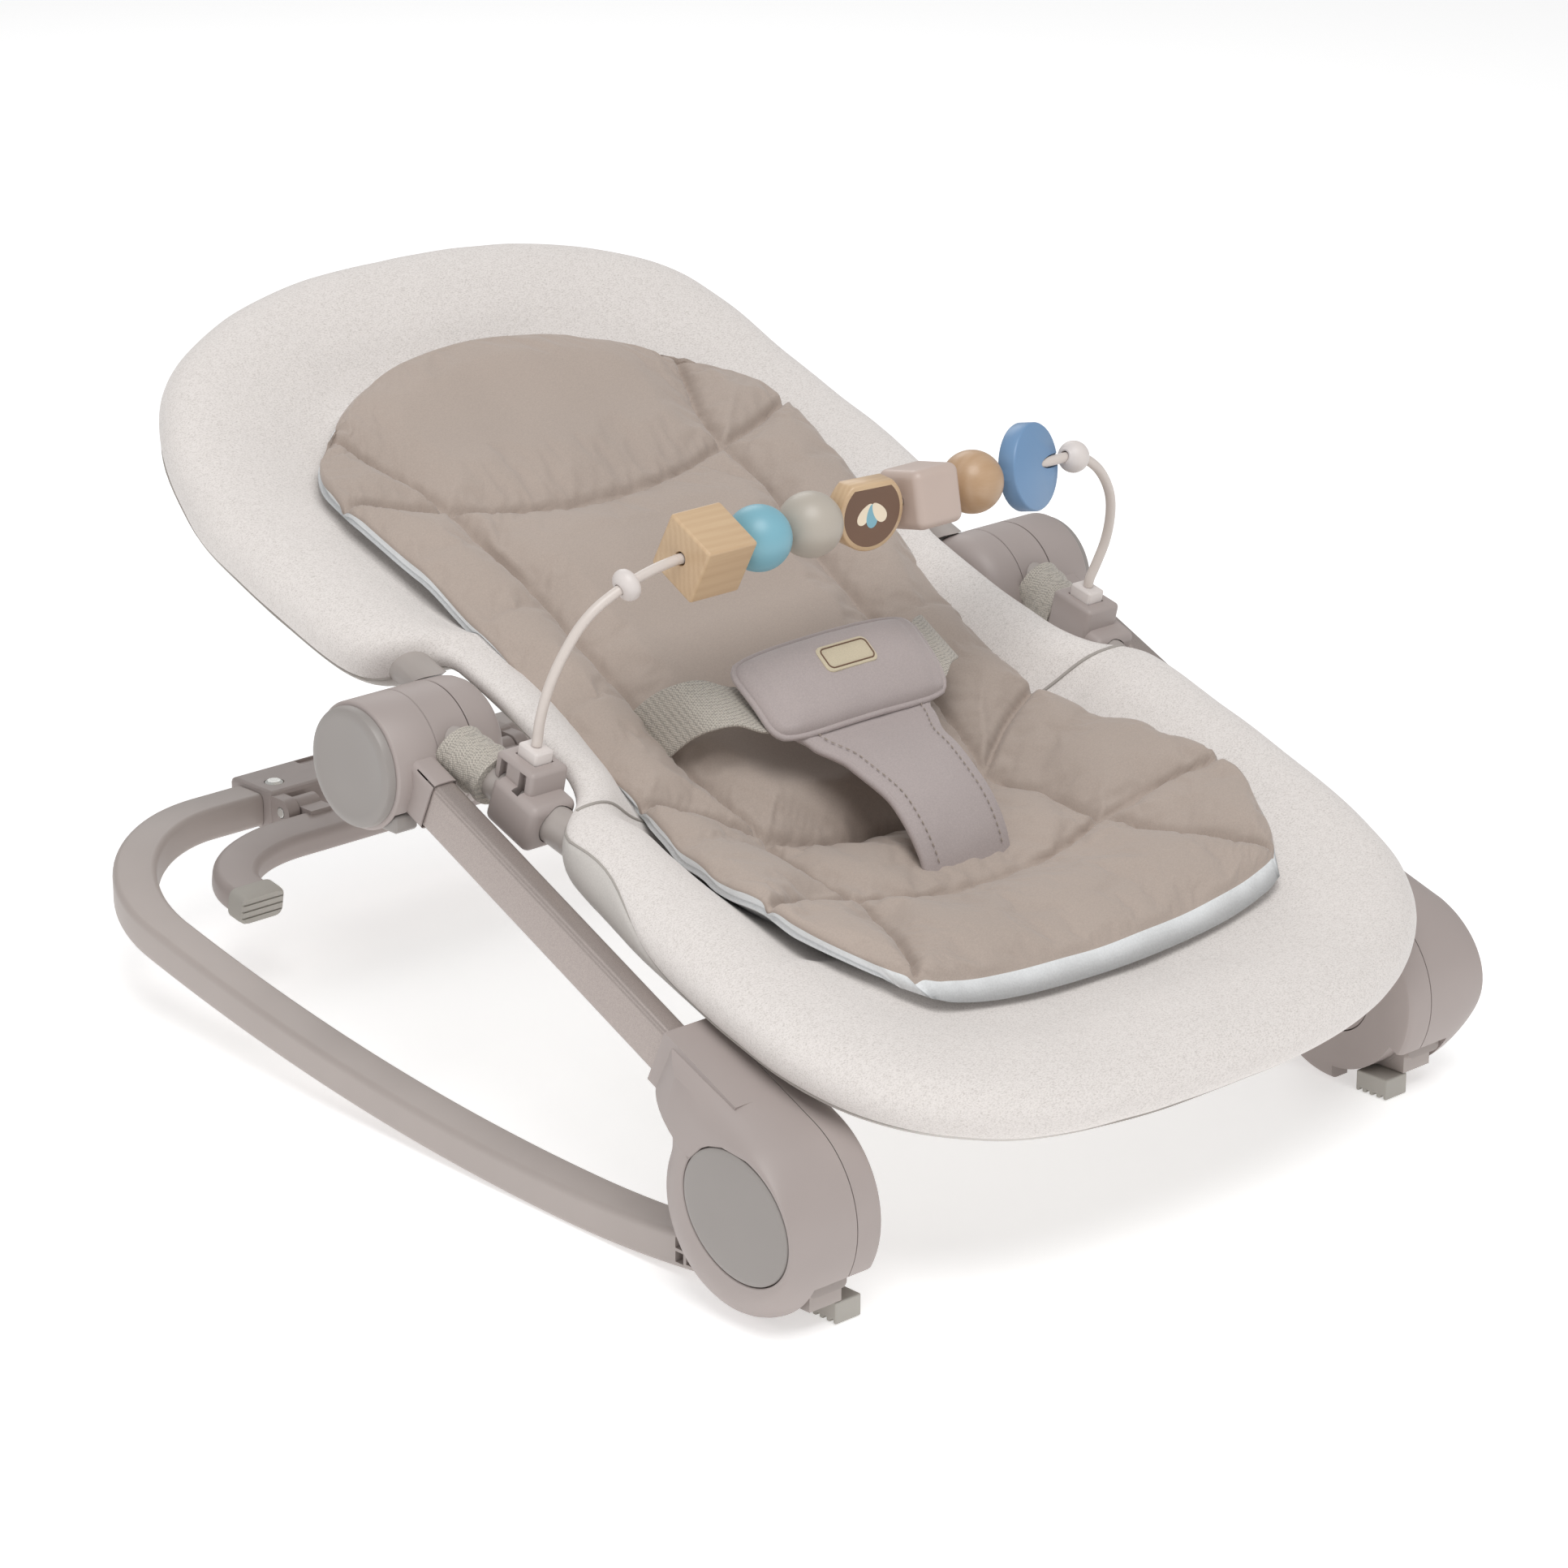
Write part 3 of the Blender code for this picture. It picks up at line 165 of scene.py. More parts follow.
def plastic(name, rgb, rough=0.5, vary=0.015, grain=0.10):
    m = Mat(name, rough)
    v = m.coords()
    m.colour(m.ramp(m.noise(v, 14, 3), [(0.3, scaled(rgb, 1 - vary)), (0.7, scaled(rgb, 1 + vary))]))
    m.rough_from(m.noise(v, 40, 2), rough - 0.05, rough + 0.06)
    m.bump(m.noise(v, 2600, 1), grain, 0.00006)
    return m.mat


def painted_metal(name, rgb, rough=0.33):
    m = Mat(name, rough, 0.55)
    v = m.coords()
    m.colour(m.ramp(m.noise(v, 4000, 1), [(0.35, scaled(rgb, 0.93)), (0.65, scaled(rgb, 1.07))]))
    m.rough_from(m.noise(v, 60, 2), rough - 0.03, rough + 0.05)
    m.bump(m.noise(v, 3500, 1), 0.08, 0.00005)
    return m.mat


def jersey(name, light, dark):
    """Melange knit: short pale and grey dashes along the courses."""
    m = Mat(name, 0.93, Sheen_Weight=0.25, Sheen_Roughness=0.5)
    dash = m.noise(m.coords((0.5, 1.0, 1.0), (0, 0, 0.5)), 1900, 2, 0.6)
    mottle = m.noise(m.coords(), 420, 2, 0.6)
    fac = m.math("ADD", m.math("MULTIPLY", dash, 0.8), m.math("MULTIPLY", mottle, 0.2))
    m.colour(m.ramp(fac, [(0.30, dark), (0.52, scaled(light, 0.97)), (0.70, light)]))
    m.bump(fac, 0.30, 0.0004)
    return m.mat


def woven(name, rgb, vary=0.05, cell=0.0006, strength=0.25, sheen=0.35, rough=0.85):
    """Fine plain weave with a soft bloom."""
    m = Mat(name, rough, Sheen_Weight=sheen, Sheen_Roughness=0.4)
    v = m.coords()
    slow = m.noise(v, 9, 3)
    fine = m.noise(v, 1 / cell, 2, 0.6)
    fac = m.math("ADD", m.math("MULTIPLY", slow, 0.45), m.math("MULTIPLY", fine, 0.55))
    m.colour(m.ramp(fac, [(0.36, scaled(rgb, 1 - vary)), (0.64, scaled(rgb, 1 + vary))]))
    m.bump(fine, strength, 0.0003)
    return m.mat


def webbing(name, rgb):
    """Ribbed strap: small bright yarns with darker gaps; the darker gaps are painted shade between the yarns."""
    m = Mat(name, 0.8, Sheen_Weight=0.2)
    v = m.coords()
    cells = m.node("ShaderNodeTexVoronoi", Scale=1050.0, Randomness=0.25)
    m.link(v, cells.inputs["Vector"])
    fac = m.math("SUBTRACT", 1.0, m.math("MULTIPLY", cells.outputs["Distance"], 1.1))
    # painted shade: the colour darkens into the gaps between the yarns, where the bump sinks
    m.colour(m.ramp(fac, [(0.22, scaled(rgb, 0.80)), (0.60, scaled(rgb, 1.04))]))
    m.bump(fac, 0.7, 0.0006)
    return m.mat


def wood(name, light, dark, scale=90.0, axis="Z"):
    m = Mat(name, 0.42, Coat_Weight=0.12)
    v = m.coords((1.0, 1.0, 1.0) if axis == "X" else (0.12, 1.0, 1.0), (0.1, 0.0, 0.12))
    warp = m.noise(v, 30, 3, 0.6)
    wave = m.node("ShaderNodeTexWave", Scale=scale, Distortion=4.0, Detail=3.0, bands_direction="Y")
    m.link(v, wave.inputs["Vector"])
    streak = m.noise(m.coords((0.05, 1, 1)), 900, 2)
    fac = m.math("ADD", m.math("MULTIPLY", wave.outputs["Fac"], 0.2),
                 m.math("ADD", m.math("MULTIPLY", warp, 0.5), m.math("MULTIPLY", streak, 0.3)))
    m.colour(m.ramp(fac, [(0.2, light), (0.8, dark)]))
    m.bump(streak, 0.12, 0.0001)
    return m.mat


SHELL = plastic("taupe_plastic", hexa("A69B97"), 0.48)
RAILM = plastic("rail_plastic", hexa("AFA5A0"), 0.46)
GREY = plastic("grey_plastic", hexa("958F8B"), 0.42)
RUBBER = plastic("grey_rubber", hexa("B0ACA5"), 0.78, 0.03, 0.3)
STRUTM = painted_metal("taupe_metal", hexa("A79C97"))
STEEL = plastic("coated_tube", hexa("A8A09B"), 0.35)
RIVETM = painted_metal("rivet_metal", hexa("E4E4E0"), 0.25)
JERSEY = jersey("pale_jersey", hexa("E6E0DC"), hexa("C6BFBA"))
UNDER = woven("underside_fabric", hexa("C4BFBA"), 0.03, 0.0007, 0.15, 0.2, 0.7)
PADM = woven("taupe_pad_fabric", hexa("AEA096"), 0.035, 0.0007, 0.18, 0.3)
BACKING = woven("white_backing", hexa("E3E5E6"), 0.03, 0.0010, 0.3, 0.2)
HARN = woven("mauve_harness_fabric", hexa("ACA19F"), 0.04, 0.0007, 0.2, 0.35, 0.8)
WEB = webbing("beige_webbing", hexa("BBB4AA"))
SEAMM = woven("seam_thread", hexa("A8A29C"), 0.05, 0.0004, 0.2, 0.1)
THREAD = woven("thread", hexa("9C9085"), 0.05, 0.0004, 0.2, 0.2)
RODM = plastic("beige_rod", hexa("D2C8C1"), 0.36)
BEADP = plastic("beige_plastic", hexa("D9D1CD"), 0.42)
WOOD = wood("natural_wood", hexa("CFB491"), hexa("BFA07E"), 90.0)
BALLW = wood("warm_wood", hexa("BFA184"), hexa("B39270"), 70.0)
BLUE = plastic("light_blue_paint", hexa("7CAEBD"), 0.38, 0.03)
SAGE = plastic("sage_paint", hexa("B3ABA0"), 0.40, 0.03)
PINK = plastic("pink_beige_paint", hexa("BFADA3"), 0.40, 0.02)
SKY = plastic("blue_paint", hexa("7193B8"), 0.38, 0.03)
LABEL = woven("beige_label", hexa("C9BDA4"), 0.04, 0.0005, 0.3)
INK = plastic("brown_ink", hexa("6E5240"), 0.5, 0.05)
CREAM = plastic("cream_ink", hexa("EBDCC4"), 0.5, 0.03)


# ---------------------------------------------------------------- mesh tools
def make(name, verts, faces, mats, angle=35.0, slots=None):
    bm = bmesh.new()
    pts = [bm.verts.new(v) for v in verts]
    for k, f in enumerate(faces):
        face = bm.faces.new([pts[i] for i in f])
        if slots is not None:
            face.material_index = slots[k]
    bmesh.ops.remove_doubles(bm, verts=bm.verts, dist=1e-6)
    bmesh.ops.dissolve_degenerate(bm, dist=1e-7, edges=bm.edges)
    bmesh.ops.recalc_face_normals(bm, faces=bm.faces)
    mesh = bpy.data.meshes.new(name)
    bm.to_mesh(mesh)
    bm.free()
    for mat in mats if isinstance(mats, (list, tuple)) else [mats]:
        mesh.materials.append(mat)
    mesh.shade_smooth()
    mesh.set_sharp_from_angle(angle=math.radians(angle))
    ob = bpy.data.objects.new(name, mesh)
    bpy.context.scene.collection.objects.link(ob)
    return ob


def skin(rings, closed=False, caps=True):
    n, verts, faces = len(rings[0]), [p for r in rings for p in r], []
    for k in range(len(rings) if closed else len(rings) - 1):
        a, b = k * n, ((k + 1) % len(rings)) * n
        for i in range(n):
            j = (i + 1) % n
            faces.append((a + i, a + j, b + j, b + i))
    if caps and not closed:
        faces.append(tuple(range(n))[::-1])
        faces.append(tuple((len(rings) - 1) * n + i for i in range(n)))
    return verts, faces


def circle(r, n):
    return [(r * math.cos(2 * math.pi * i / n), r * math.sin(2 * math.pi * i / n)) for i in range(n)]


def rounded_rect(w, h, r, steps=5):
    pts = []
    for cx, cy, a0 in ((w / 2 - r, h / 2 - r, 0), (r - w / 2, h / 2 - r, 90),
                       (r - w / 2, r - h / 2, 180), (w / 2 - r, r - h / 2, 270)):
        for k in range(steps + 1):
            a = math.radians(a0 + 90 * k / steps)
            pts.append((cx + r * math.cos(a), cy + r * math.sin(a)))
    return pts


def sweep_rings(path, section, up=Vector((0, 0, 1))):
    rings = []
    for i, p in enumerate(path):
        t = (path[min(i + 1, len(path) - 1)] - path[max(i - 1, 0)]).normalized()
        side = t.cross(up).normalized()
        nrm = side.cross(t).normalized()
        sec = section[i] if isinstance(section[0], list) else section
        rings.append([p + side * a + nrm * b for a, b in sec])
    return rings


def extrude_x(name, outline, x0, x1, mat):
    return make(name, *skin([[Vector((x, y, z)) for y, z in outline] for x in (x0, x1)]), mat)


def box(name, lo, hi, mat):
    (x0, y0, z0), (x1, y1, z1) = lo, hi
    return extrude_x(name, [(y0, z0), (y1, z0), (y1, z1), (y0, z1)], x0, x1, mat)


def lathe_x(name, profile, cy, cz, mat, n=96, closed=False):
    rings = [[Vector((x, cy + r * math.cos(2 * math.pi * i / n), cz + r * math.sin(2 * math.pi * i / n)))
              for i in range(n)] for x, r in profile]
    return make(name, *skin(rings, closed), mat)


def apply_all(ob):
    graph = bpy.context.evaluated_depsgraph_get()
    mesh = bpy.data.meshes.new_from_object(ob.evaluated_get(graph))
    ob.modifiers.clear()
    ob.data = mesh


def boolean(ob, other, op):
    mod = ob.modifiers.new("cut", "BOOLEAN")
    mod.operation, mod.object, mod.solver = op, other, "EXACT"
    apply_all(ob)
    bpy.data.objects.remove(other, do_unlink=True)
    bm = bmesh.new()
    bm.from_mesh(ob.data)
    bmesh.ops.remove_doubles(bm, verts=bm.verts, dist=2e-6)
    bmesh.ops.dissolve_degenerate(bm, dist=1e-6, edges=bm.edges)
    bm.to_mesh(ob.data)
    bm.free()
    return ob


def cut(ob, *others):
    for other in others:
        boolean(ob, other, "DIFFERENCE")
    return ob


def join(ob, *others):
    for other in others:
        boolean(ob, other, "UNION")
    return ob


def soften(ob, width=0.0006, segments=2, angle=32):
    """Rounds hard edges and keeps curved faces smooth."""
    bm = bmesh.new()
    bm.from_mesh(ob.data)
    bmesh.ops.remove_doubles(bm, verts=bm.verts, dist=2e-6)
    bmesh.ops.dissolve_degenerate(bm, dist=1e-6, edges=bm.edges)
    bm.to_mesh(ob.data)
    bm.free()
    ob.data.shade_smooth()
    ob.data.set_sharp_from_angle(angle=math.radians(angle))
    mod = ob.modifiers.new("edges", "BEVEL")
    mod.width, mod.segments, mod.limit_method = width, segments, "ANGLE"
    mod.angle_limit, mod.harden_normals = math.radians(angle), True
    mod.use_clamp_overlap = True
    return ob


def mirrored(ob, name):
    mesh = ob.data.copy()
    mesh.transform(Matrix.Diagonal((-1, 1, 1, 1)))
    mesh.flip_normals()
    twin = bpy.data.objects.new(name, mesh)
    bpy.context.scene.collection.objects.link(twin)
    for m in ob.modifiers:
        if m.type == "BEVEL":
            c = twin.modifiers.new(m.name, "BEVEL")
            for key in ("width", "segments", "limit_method", "angle_limit", "harden_normals"):
                setattr(c, key, getattr(m, key))
    return twin


def place(ob, body, *nodes):
    """Moves a piece into the row frame, rides it on its body, hides what it stands for."""
    ob.location = ob.location + SHIFT
    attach(ob, body)
    if nodes:
        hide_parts(*nodes)
    return ob


def pair(ob, base, body_l, body_r=None, nodes=True):
    """Left piece and its mirror image, both placed."""
    twin = mirrored(ob, base + "_vis_r")
    ob.name = base + "_vis_l"
    place(ob, body_l, *([base + "_l"] if nodes else []))
    place(twin, body_r or body_l, *([base + "_r"] if nodes else []))
    return ob, twin


def dress(node, mat, width=0.0006):
    """A softened copy of a CAD piece, shown in its place."""
    src = frame["nodes"][node]
    ob = bpy.data.objects.new(node + "_vis", src.data.copy())
    bpy.context.scene.collection.objects.link(ob)
    ob.data.materials.clear()
    ob.data.materials.append(mat)
    bm = bmesh.new()
    bm.from_mesh(ob.data)
    bmesh.ops.remove_doubles(bm, verts=bm.verts, dist=5e-6)
    bmesh.ops.dissolve_limit(bm, angle_limit=math.radians(0.6), verts=bm.verts, edges=bm.edges)
    bm.to_mesh(ob.data)
    bm.free()
    soften(ob, width)
    body = next(b for b, ns in frame["record"]["behaviour"]["bodies"].items() if node in ns)
    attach(ob, body)
    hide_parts(node)
    return ob


# ---------------------------------------------------------------- base
def rail_z(y):
    d = y - 0.120
    return d * d / (2 * (1.37 if d > 0 else 0.66))


RAIL_X, RAIL_W, RAIL_H, CROSS_Y, LOOP = 0.18725, 0.0215, 0.0170, 0.5015, 0.080


def base_pieces():
    path = [Vector((-RAIL_X, y, 0)) for y in np.linspace(-0.034, CROSS_Y - LOOP, 60)]
    for k in range(1, 25):
        a = math.radians(180 - 90 * k / 25)
        path.append(Vector((-RAIL_X + LOOP + LOOP * math.cos(a), CROSS_Y - LOOP + LOOP * math.sin(a), 0)))
    path += [Vector((x, CROSS_Y, 0)) for x in (-RAIL_X + LOOP, -0.088, -0.0783)]
    for p in path:
        p.z = rail_z(p.y) + RAIL_H / 2
    rail = make("rail", *skin(sweep_rings(path, rounded_rect(RAIL_W, RAIL_H, 0.0033, 5))), RAILM)
    join(rail, lathe_x("core", [(-0.198, 0.0395), (-0.1765, 0.0395)], 0, HUB_Z, RAILM, 72),
         box("foot", (-0.195, -0.0325, 0.0105), (-0.177, -0.0145, 0.03), RAILM))
    for row in range(2):
        for col in range(5):
            y = 0.0150 + col * 0.0068
            z = rail_z(y) + 0.0026 + row * 0.0064
            cut(rail, box("p", (-0.1990, y, z), (-0.1905, y + 0.0050, z + 0.0050), RAILM),
                box("p", (-0.1840, y, z), (-0.1755, y + 0.0050, z + 0.0050), RAILM))
    pair(soften(rail, 0.0005), "rocker_rail", "base")
    dress("rear_crossbar", SHELL, 0.0008)
    for t in "lr":
        dress("rivet_" + t, RIVETM, 0.0004)
        dress("stand_pin_" + t, RIVETM, 0.0003)
    foot = box("f", (-0.1800, -0.0324, 0.0), (-0.1655, -0.0142, 0.0100), RUBBER)
    for k in range(4):
        y = -0.0305 + k * 0.0042
        cut(foot, box("g", (-0.19, y, -0.001), (-0.16, y + 0.0018, 0.0018), RUBBER))
    pair(soften(foot, 0.0008, 3), "rubber_foot", "base")


def stand_pieces():
    tilt = math.radians(10)
    up = Vector((0, -math.sin(tilt), math.cos(tilt)))

    def at(x, d, h=0.0):
        c, s = math.cos(tilt), math.sin(tilt)
        return Vector((x, HINGE_Y - d * c - h * s, HINGE_Z - 0.0030 - d * s + h * c))

    half = [at(x, 0.0190) for x in np.linspace(0.0, -0.085, 10)]
    half += [at(-0.085 - 0.0535 * math.cos(math.radians(90 - 4.5 * k)),
                0.0190 + 0.034 * (1 - math.sin(math.radians(90 - 4.5 * k)))) for k in range(1, 21)]
    half += [at(-0.1385, 0.0560)]
    path = half[::-1] + [Vector((-p.x, p.y, p.z)) for p in half[1:]]
    bar = make("bar", *skin(sweep_rings(path, rounded_rect(0.0225, 0.0130, 0.0042, 5), up)), SHELL)
    for sx in (-1, 1):
        x0, x1 = sorted((sx * 0.0693, sx * 0.0560))
        join(bar, lathe_x("eye", [(x0, 0.0062), (x1, 0.0062)], HINGE_Y, HINGE_Z, SHELL, 40),
             box("web", (x0, HINGE_Y - 0.015, HINGE_Z - 0.0062), (x1, HINGE_Y, HINGE_Z + 0.003), SHELL))
        cut(bar, lathe_x("bore", [(x0 - 0.01, 0.0029), (x1 + 0.01, 0.0029)], HINGE_Y, HINGE_Z, SHELL, 24))
    place(soften(bar, 0.0007), "stand", "rear_stand")
    tip_path = [at(-0.1385, d) for d in (0.0563, 0.0575, 0.0600, 0.0640, 0.0668, 0.0680)]
    sizes = (0.96, 1.0, 1.0, 1.0, 0.98, 0.90)
    rings = sweep_rings(tip_path, [rounded_rect(0.0255 * k, 0.0150 * k, 0.0038, 4) for k in sizes], up)
    tip = make("tip", *skin(rings), RUBBER)
    for k in range(3):
        h = -0.0042 + k * 0.0036
        lo, hi = at(0, 0.0672, h), at(0, 0.0700, h + 0.0014)
        cut(tip, box("g", (-0.16, min(lo.y, hi.y), min(lo.z, hi.z)), (-0.11, max(lo.y, hi.y), max(lo.z, hi.z)),
                     RUBBER))
    pair(soften(tip, 0.0005), "stand_tip", "stand")


# ---------------------------------------------------------------- hubs and struts
STRUT_ANGLE = math.radians(24.5)
STRUT_V, STRUT_XO, STRUT_XI, NECK_END, HUB_R, CORE_R = 0.0320, 0.2046, 0.1924, 0.0680, 0.0450, 0.0395
BTN = (-0.0070, 0.0105, 0.0325, 0.0270)


def strut_point(u, v, x=0.0):
    c, s = math.cos(STRUT_ANGLE), math.sin(STRUT_ANGLE)
    return Vector((x, u * c - v * s, HUB_Z + u * s + v * c))


def yz(points):
    return [(p.y, p.z) for p in (strut_point(u, v) for u, v in points)]


def teardrop(r, neck_half, n_arc=84, scale=1.0):
    v_low, rho = STRUT_V - neck_half, 0.018
    uc = math.sqrt((r + rho) ** 2 - (v_low - rho) ** 2)
    pts = [(NECK_END, r), (NECK_END * 0.66, r), (NECK_END * 0.33, r)]
    a_end = math.atan2(v_low - rho, uc)
    for k in range(n_arc + 1):
        a = math.radians(90) + (2 * math.pi + a_end - math.radians(90)) * k / n_arc
        pts.append((r * math.cos(a), r * math.sin(a)))
    a0 = a_end + math.pi
    for k in range(1, 15):
        a = a0 - (a0 - math.radians(90)) * k / 14
        pts.append((uc + rho * math.cos(a), v_low - rho + rho * math.sin(a)))
    pts.append((max(NECK_END, uc + 0.001), v_low))
    return [(u * scale, v * scale) for u, v in pts]


def sector(a0, a1, r0, r1, x0, x1):
    arc = [math.radians(a0 + (a1 - a0) * k / 30) for k in range(31)]
    out = [(r1 * math.cos(a), HUB_Z + r1 * math.sin(a)) for a in arc]
    out += [(r0 * math.cos(a), HUB_Z + r0 * math.sin(a)) for a in reversed(arc)]
    return extrude_x("sector", out, x0, x1, SHELL)


def hub_pieces():
    u0, v0, ba, bb = BTN
    outline = teardrop(HUB_R, 0.0135)
    def on_dome(u, v, k, x, margin):
        a = math.atan2((v - v0) / bb, (u - u0) / ba)
        eu, ev = u0 + (ba + margin) * math.cos(a), v0 + (bb + margin) * math.sin(a)
        return strut_point(eu + (u - eu) * k, ev + (v - ev) * k, -x)

    rings = [[strut_point(u, v, -x) for u, v in outline] for x in (0.1800, 0.1960)]
    for deg in (8, 16, 25, 34, 43, 52, 61, 70, 78, 85, 90):
        t = math.radians(deg)
        rings.append([on_dome(u, v, math.cos(t), 0.1960 + 0.0205 * math.sin(t), 0.0020) for u, v in outline])
    for x, margin in ((0.2165, 0.0009), (0.2161, 0.0005), (0.2085, 0.0004)):
        rings.append([on_dome(u, v, 0.0, x, margin) for u, v in outline])
    shell = make("shell", *skin(rings), SHELL)
    join(shell, extrude_x("neck", yz(((0.020, 0.0185), (NECK_END, 0.0185), (NECK_END, HUB_R), (0.020, HUB_R))),
                          -0.2066, -0.1802, SHELL))
    cut(shell, lathe_x("cup", [(-0.1986, CORE_R + 0.0012), (-0.1700, CORE_R + 0.0012)], 0, HUB_Z, SHELL, 72),
        extrude_x("socket", yz(((0.0455, 0.0202), (0.08, 0.0202), (0.08, 0.0438), (0.0455, 0.0438))),
                  -STRUT_XO - 0.0003, -STRUT_XI + 0.0003, SHELL),
        sector(-13, -151, 0.030, 0.060, -0.1986, -0.1700))
    pair(soften(shell, 0.0007), "front_shell_outer", "chassis")

    rings = [[strut_point(u, v, -x) for u, v in teardrop(HUB_R, 0.0135, scale=k)]
             for x, k in ((0.1795, 1.0), (0.1685, 1.0), (0.1668, 0.992), (0.1655, 0.975), (0.1650, 0.95))]
    inner = make("inner", *skin(rings), SHELL)
    cut(inner, lathe_x("cup", [(-0.185, CORE_R + 0.0012), (-0.1760, CORE_R + 0.0012)], 0, HUB_Z, SHELL, 72),
        sector(-13, -151, 0.030, 0.060, -0.185, -0.1760), sector(-90, -151, 0.0384, 0.060, -0.185, -0.160),
        lathe_x("seat", [(-0.1680, 0.0203), (-0.1600, 0.0203)], 0, HUB_Z, SHELL, 64),
        loft_tube("relief", [p for p in SEAT_PTS if p[0] < 0 and -0.29 < p[1] < -0.12], 0.0137, SHELL, 24))
    pair(soften(inner, 0.0007), "front_shell_inner", "chassis")

    axle = lathe_x("axle", [(-0.2045, 0.0059), (-0.1678, 0.0059), (-0.1677, 0.0200), (-0.1660, 0.0200),
                            (-0.1652, 0.0196), (-0.1649, 0.0180), (-0.1653, 0.0165), (-0.1653, 0.0040)],
                   0, HUB_Z, SHELL, 64)
    pair(axle, "front_axle", "chassis")

    def oval_ring(x, k):
        return [strut_point(u0 + ba * k * math.cos(2 * math.pi * i / 96),
                            v0 + bb * k * math.sin(2 * math.pi * i / 96), -x) for i in range(96)]

    button = make("button", *skin([oval_ring(0.2120, 1.0), oval_ring(0.2158, 1.0), oval_ring(0.2164, 0.992),
                                   oval_ring(0.2167, 0.975), oval_ring(0.2170, 0.90), oval_ring(0.2174, 0.60),
                                   oval_ring(0.2176, 0.25)]), GREY, 50)
    pair(button, "fold_button", "button_l", "button_r")

    up_u = UP_Y * math.cos(STRUT_ANGLE) + (UP_Z - HUB_Z) * math.sin(STRUT_ANGLE)
    neck_u = up_u - 0.0390
    up = Vector((0, -math.sin(STRUT_ANGLE), math.cos(STRUT_ANGLE)))
    path = [strut_point(u, STRUT_V, -(STRUT_XO + STRUT_XI) / 2) for u in (0.0458, neck_u + 0.0060)]
    strut = make("strut", *skin(sweep_rings(path, rounded_rect(STRUT_XO - STRUT_XI, 0.0230, 0.0030, 6), up)), STRUTM)
    pair(soften(strut, 0.0004), "strut", "chassis")

    housing = lathe_x("housing", [(-0.2130, 0.0278), (-0.2126, 0.0285), (-0.2118, 0.0290), (-0.1902, 0.0290)],
                      UP_Y, UP_Z, SHELL)
    ends = [strut_point(u, STRUT_V, -(STRUT_XO + STRUT_XI) / 2) for u in (neck_u, up_u - 0.008)]
    join(housing, make("neck", *skin(sweep_rings(ends, rounded_rect(0.0146, 0.0254, 0.0038, 6), up)), SHELL))
    cut(housing, extrude_x("socket", yz(((neck_u - 0.02, 0.0202), (neck_u + 0.0124, 0.0202),
                                         (neck_u + 0.0124, 0.0438), (neck_u - 0.02, 0.0438))),
                           -STRUT_XO - 0.0003, -STRUT_XI + 0.0003, SHELL),
        box("tab_well", (-0.2115, 0.2135, 0.1490), (-0.1975, 0.2405, 0.1705), SHELL))
    pair(soften(housing, 0.0008), "upper_housing", "chassis")
    cap = lathe_x("cap", [(-0.2133, 0.0272), (-0.2160, 0.0270), (-0.2170, 0.0264), (-0.2176, 0.0250),
                          (-0.2179, 0.0225), (-0.2176, 0.0214), (-0.2176, 0.0100)], UP_Y, UP_Z, GREY)
    pair(cap, "hub_cap", "chassis")
    for t in "lr":
        dress("recline_tab_" + t, GREY, 0.0010)
        dress("recline_pin_" + t, RIVETM, 0.0003)
    knuckle = lathe_x("knuckle", [(-0.1898, 0.0286), (-0.1894, 0.0290), (-0.1709, 0.0290), (-0.1705, 0.0286)],
                      UP_Y, UP_Z, SHELL)
    pair(knuckle, "seat_knuckle", "chassis")
    turn = lathe_x("turn", [(-0.1700, 0.0287), (-0.1696, 0.0290), (-0.1600, 0.0288), (-0.1565, 0.0281),
                            (-0.1535, 0.0266), (-0.1513, 0.0243), (-0.1500, 0.0210), (-0.1494, 0.0170),
                            (-0.1494, 0.0060)], UP_Y, UP_Z, SHELL)
    pair(turn, "back_knuckle", "backrest")


# ---------------------------------------------------------------- seat lines
SLOPE, TUBE_Z0 = 0.370, 0.1115
BETA = math.atan(SLOPE)
S_BEND, BEND_LEN, BEND_TO = 0.1365, 0.060, math.radians(38.0)
HALF_W, CORNER_POWER = 0.1710, 2.7


def slope_at(s):
    t = min(max((s - S_BEND) / BEND_LEN, 0.0), 1.0)
    return BETA + (BEND_TO - BETA) * t


def line_table():
    """Positions along the tube line every half millimetre, front to back."""
    y, z = UP_Y + S_BEND * math.cos(BETA), TUBE_Z0 + SLOPE * UP_Y + S_BEND * math.sin(BETA)
    out = [(y, z)]
    for k in range(400):
        a = slope_at(S_BEND + (k + 0.5) * 0.0005)
        y, z = y + 0.0005 * math.cos(a), z + 0.0005 * math.sin(a)
        out.append((y, z))
    return out


LINE = line_table()


def line_point(s, h=0.0, x=0.0):
    if s <= S_BEND:
        y, z = UP_Y + s * math.cos(BETA), TUBE_Z0 + SLOPE * UP_Y + s * math.sin(BETA)
    else:
        k = (s - S_BEND) / 0.0005
        i = min(int(k), len(LINE) - 2)
        f = k - i
        y = LINE[i][0] * (1 - f) + LINE[i + 1][0] * f
        z = LINE[i][1] * (1 - f) + LINE[i + 1][1] * f
    a = slope_at(s)
    return Vector((x, y - h * math.sin(a), z + h * math.cos(a)))


def smooth(t):
    t = min(max(t, 0.0), 1.0)
    return t * t * (3 - 2 * t)


def mix(table, s):
    if s <= table[0][0]:
        return table[0][1]
    for (s0, v0), (s1, v1) in zip(table, table[1:]):
        if s <= s1:
            return v0 + (v1 - v0) * smooth((s - s0) / (s1 - s0))
    return table[-1][1]


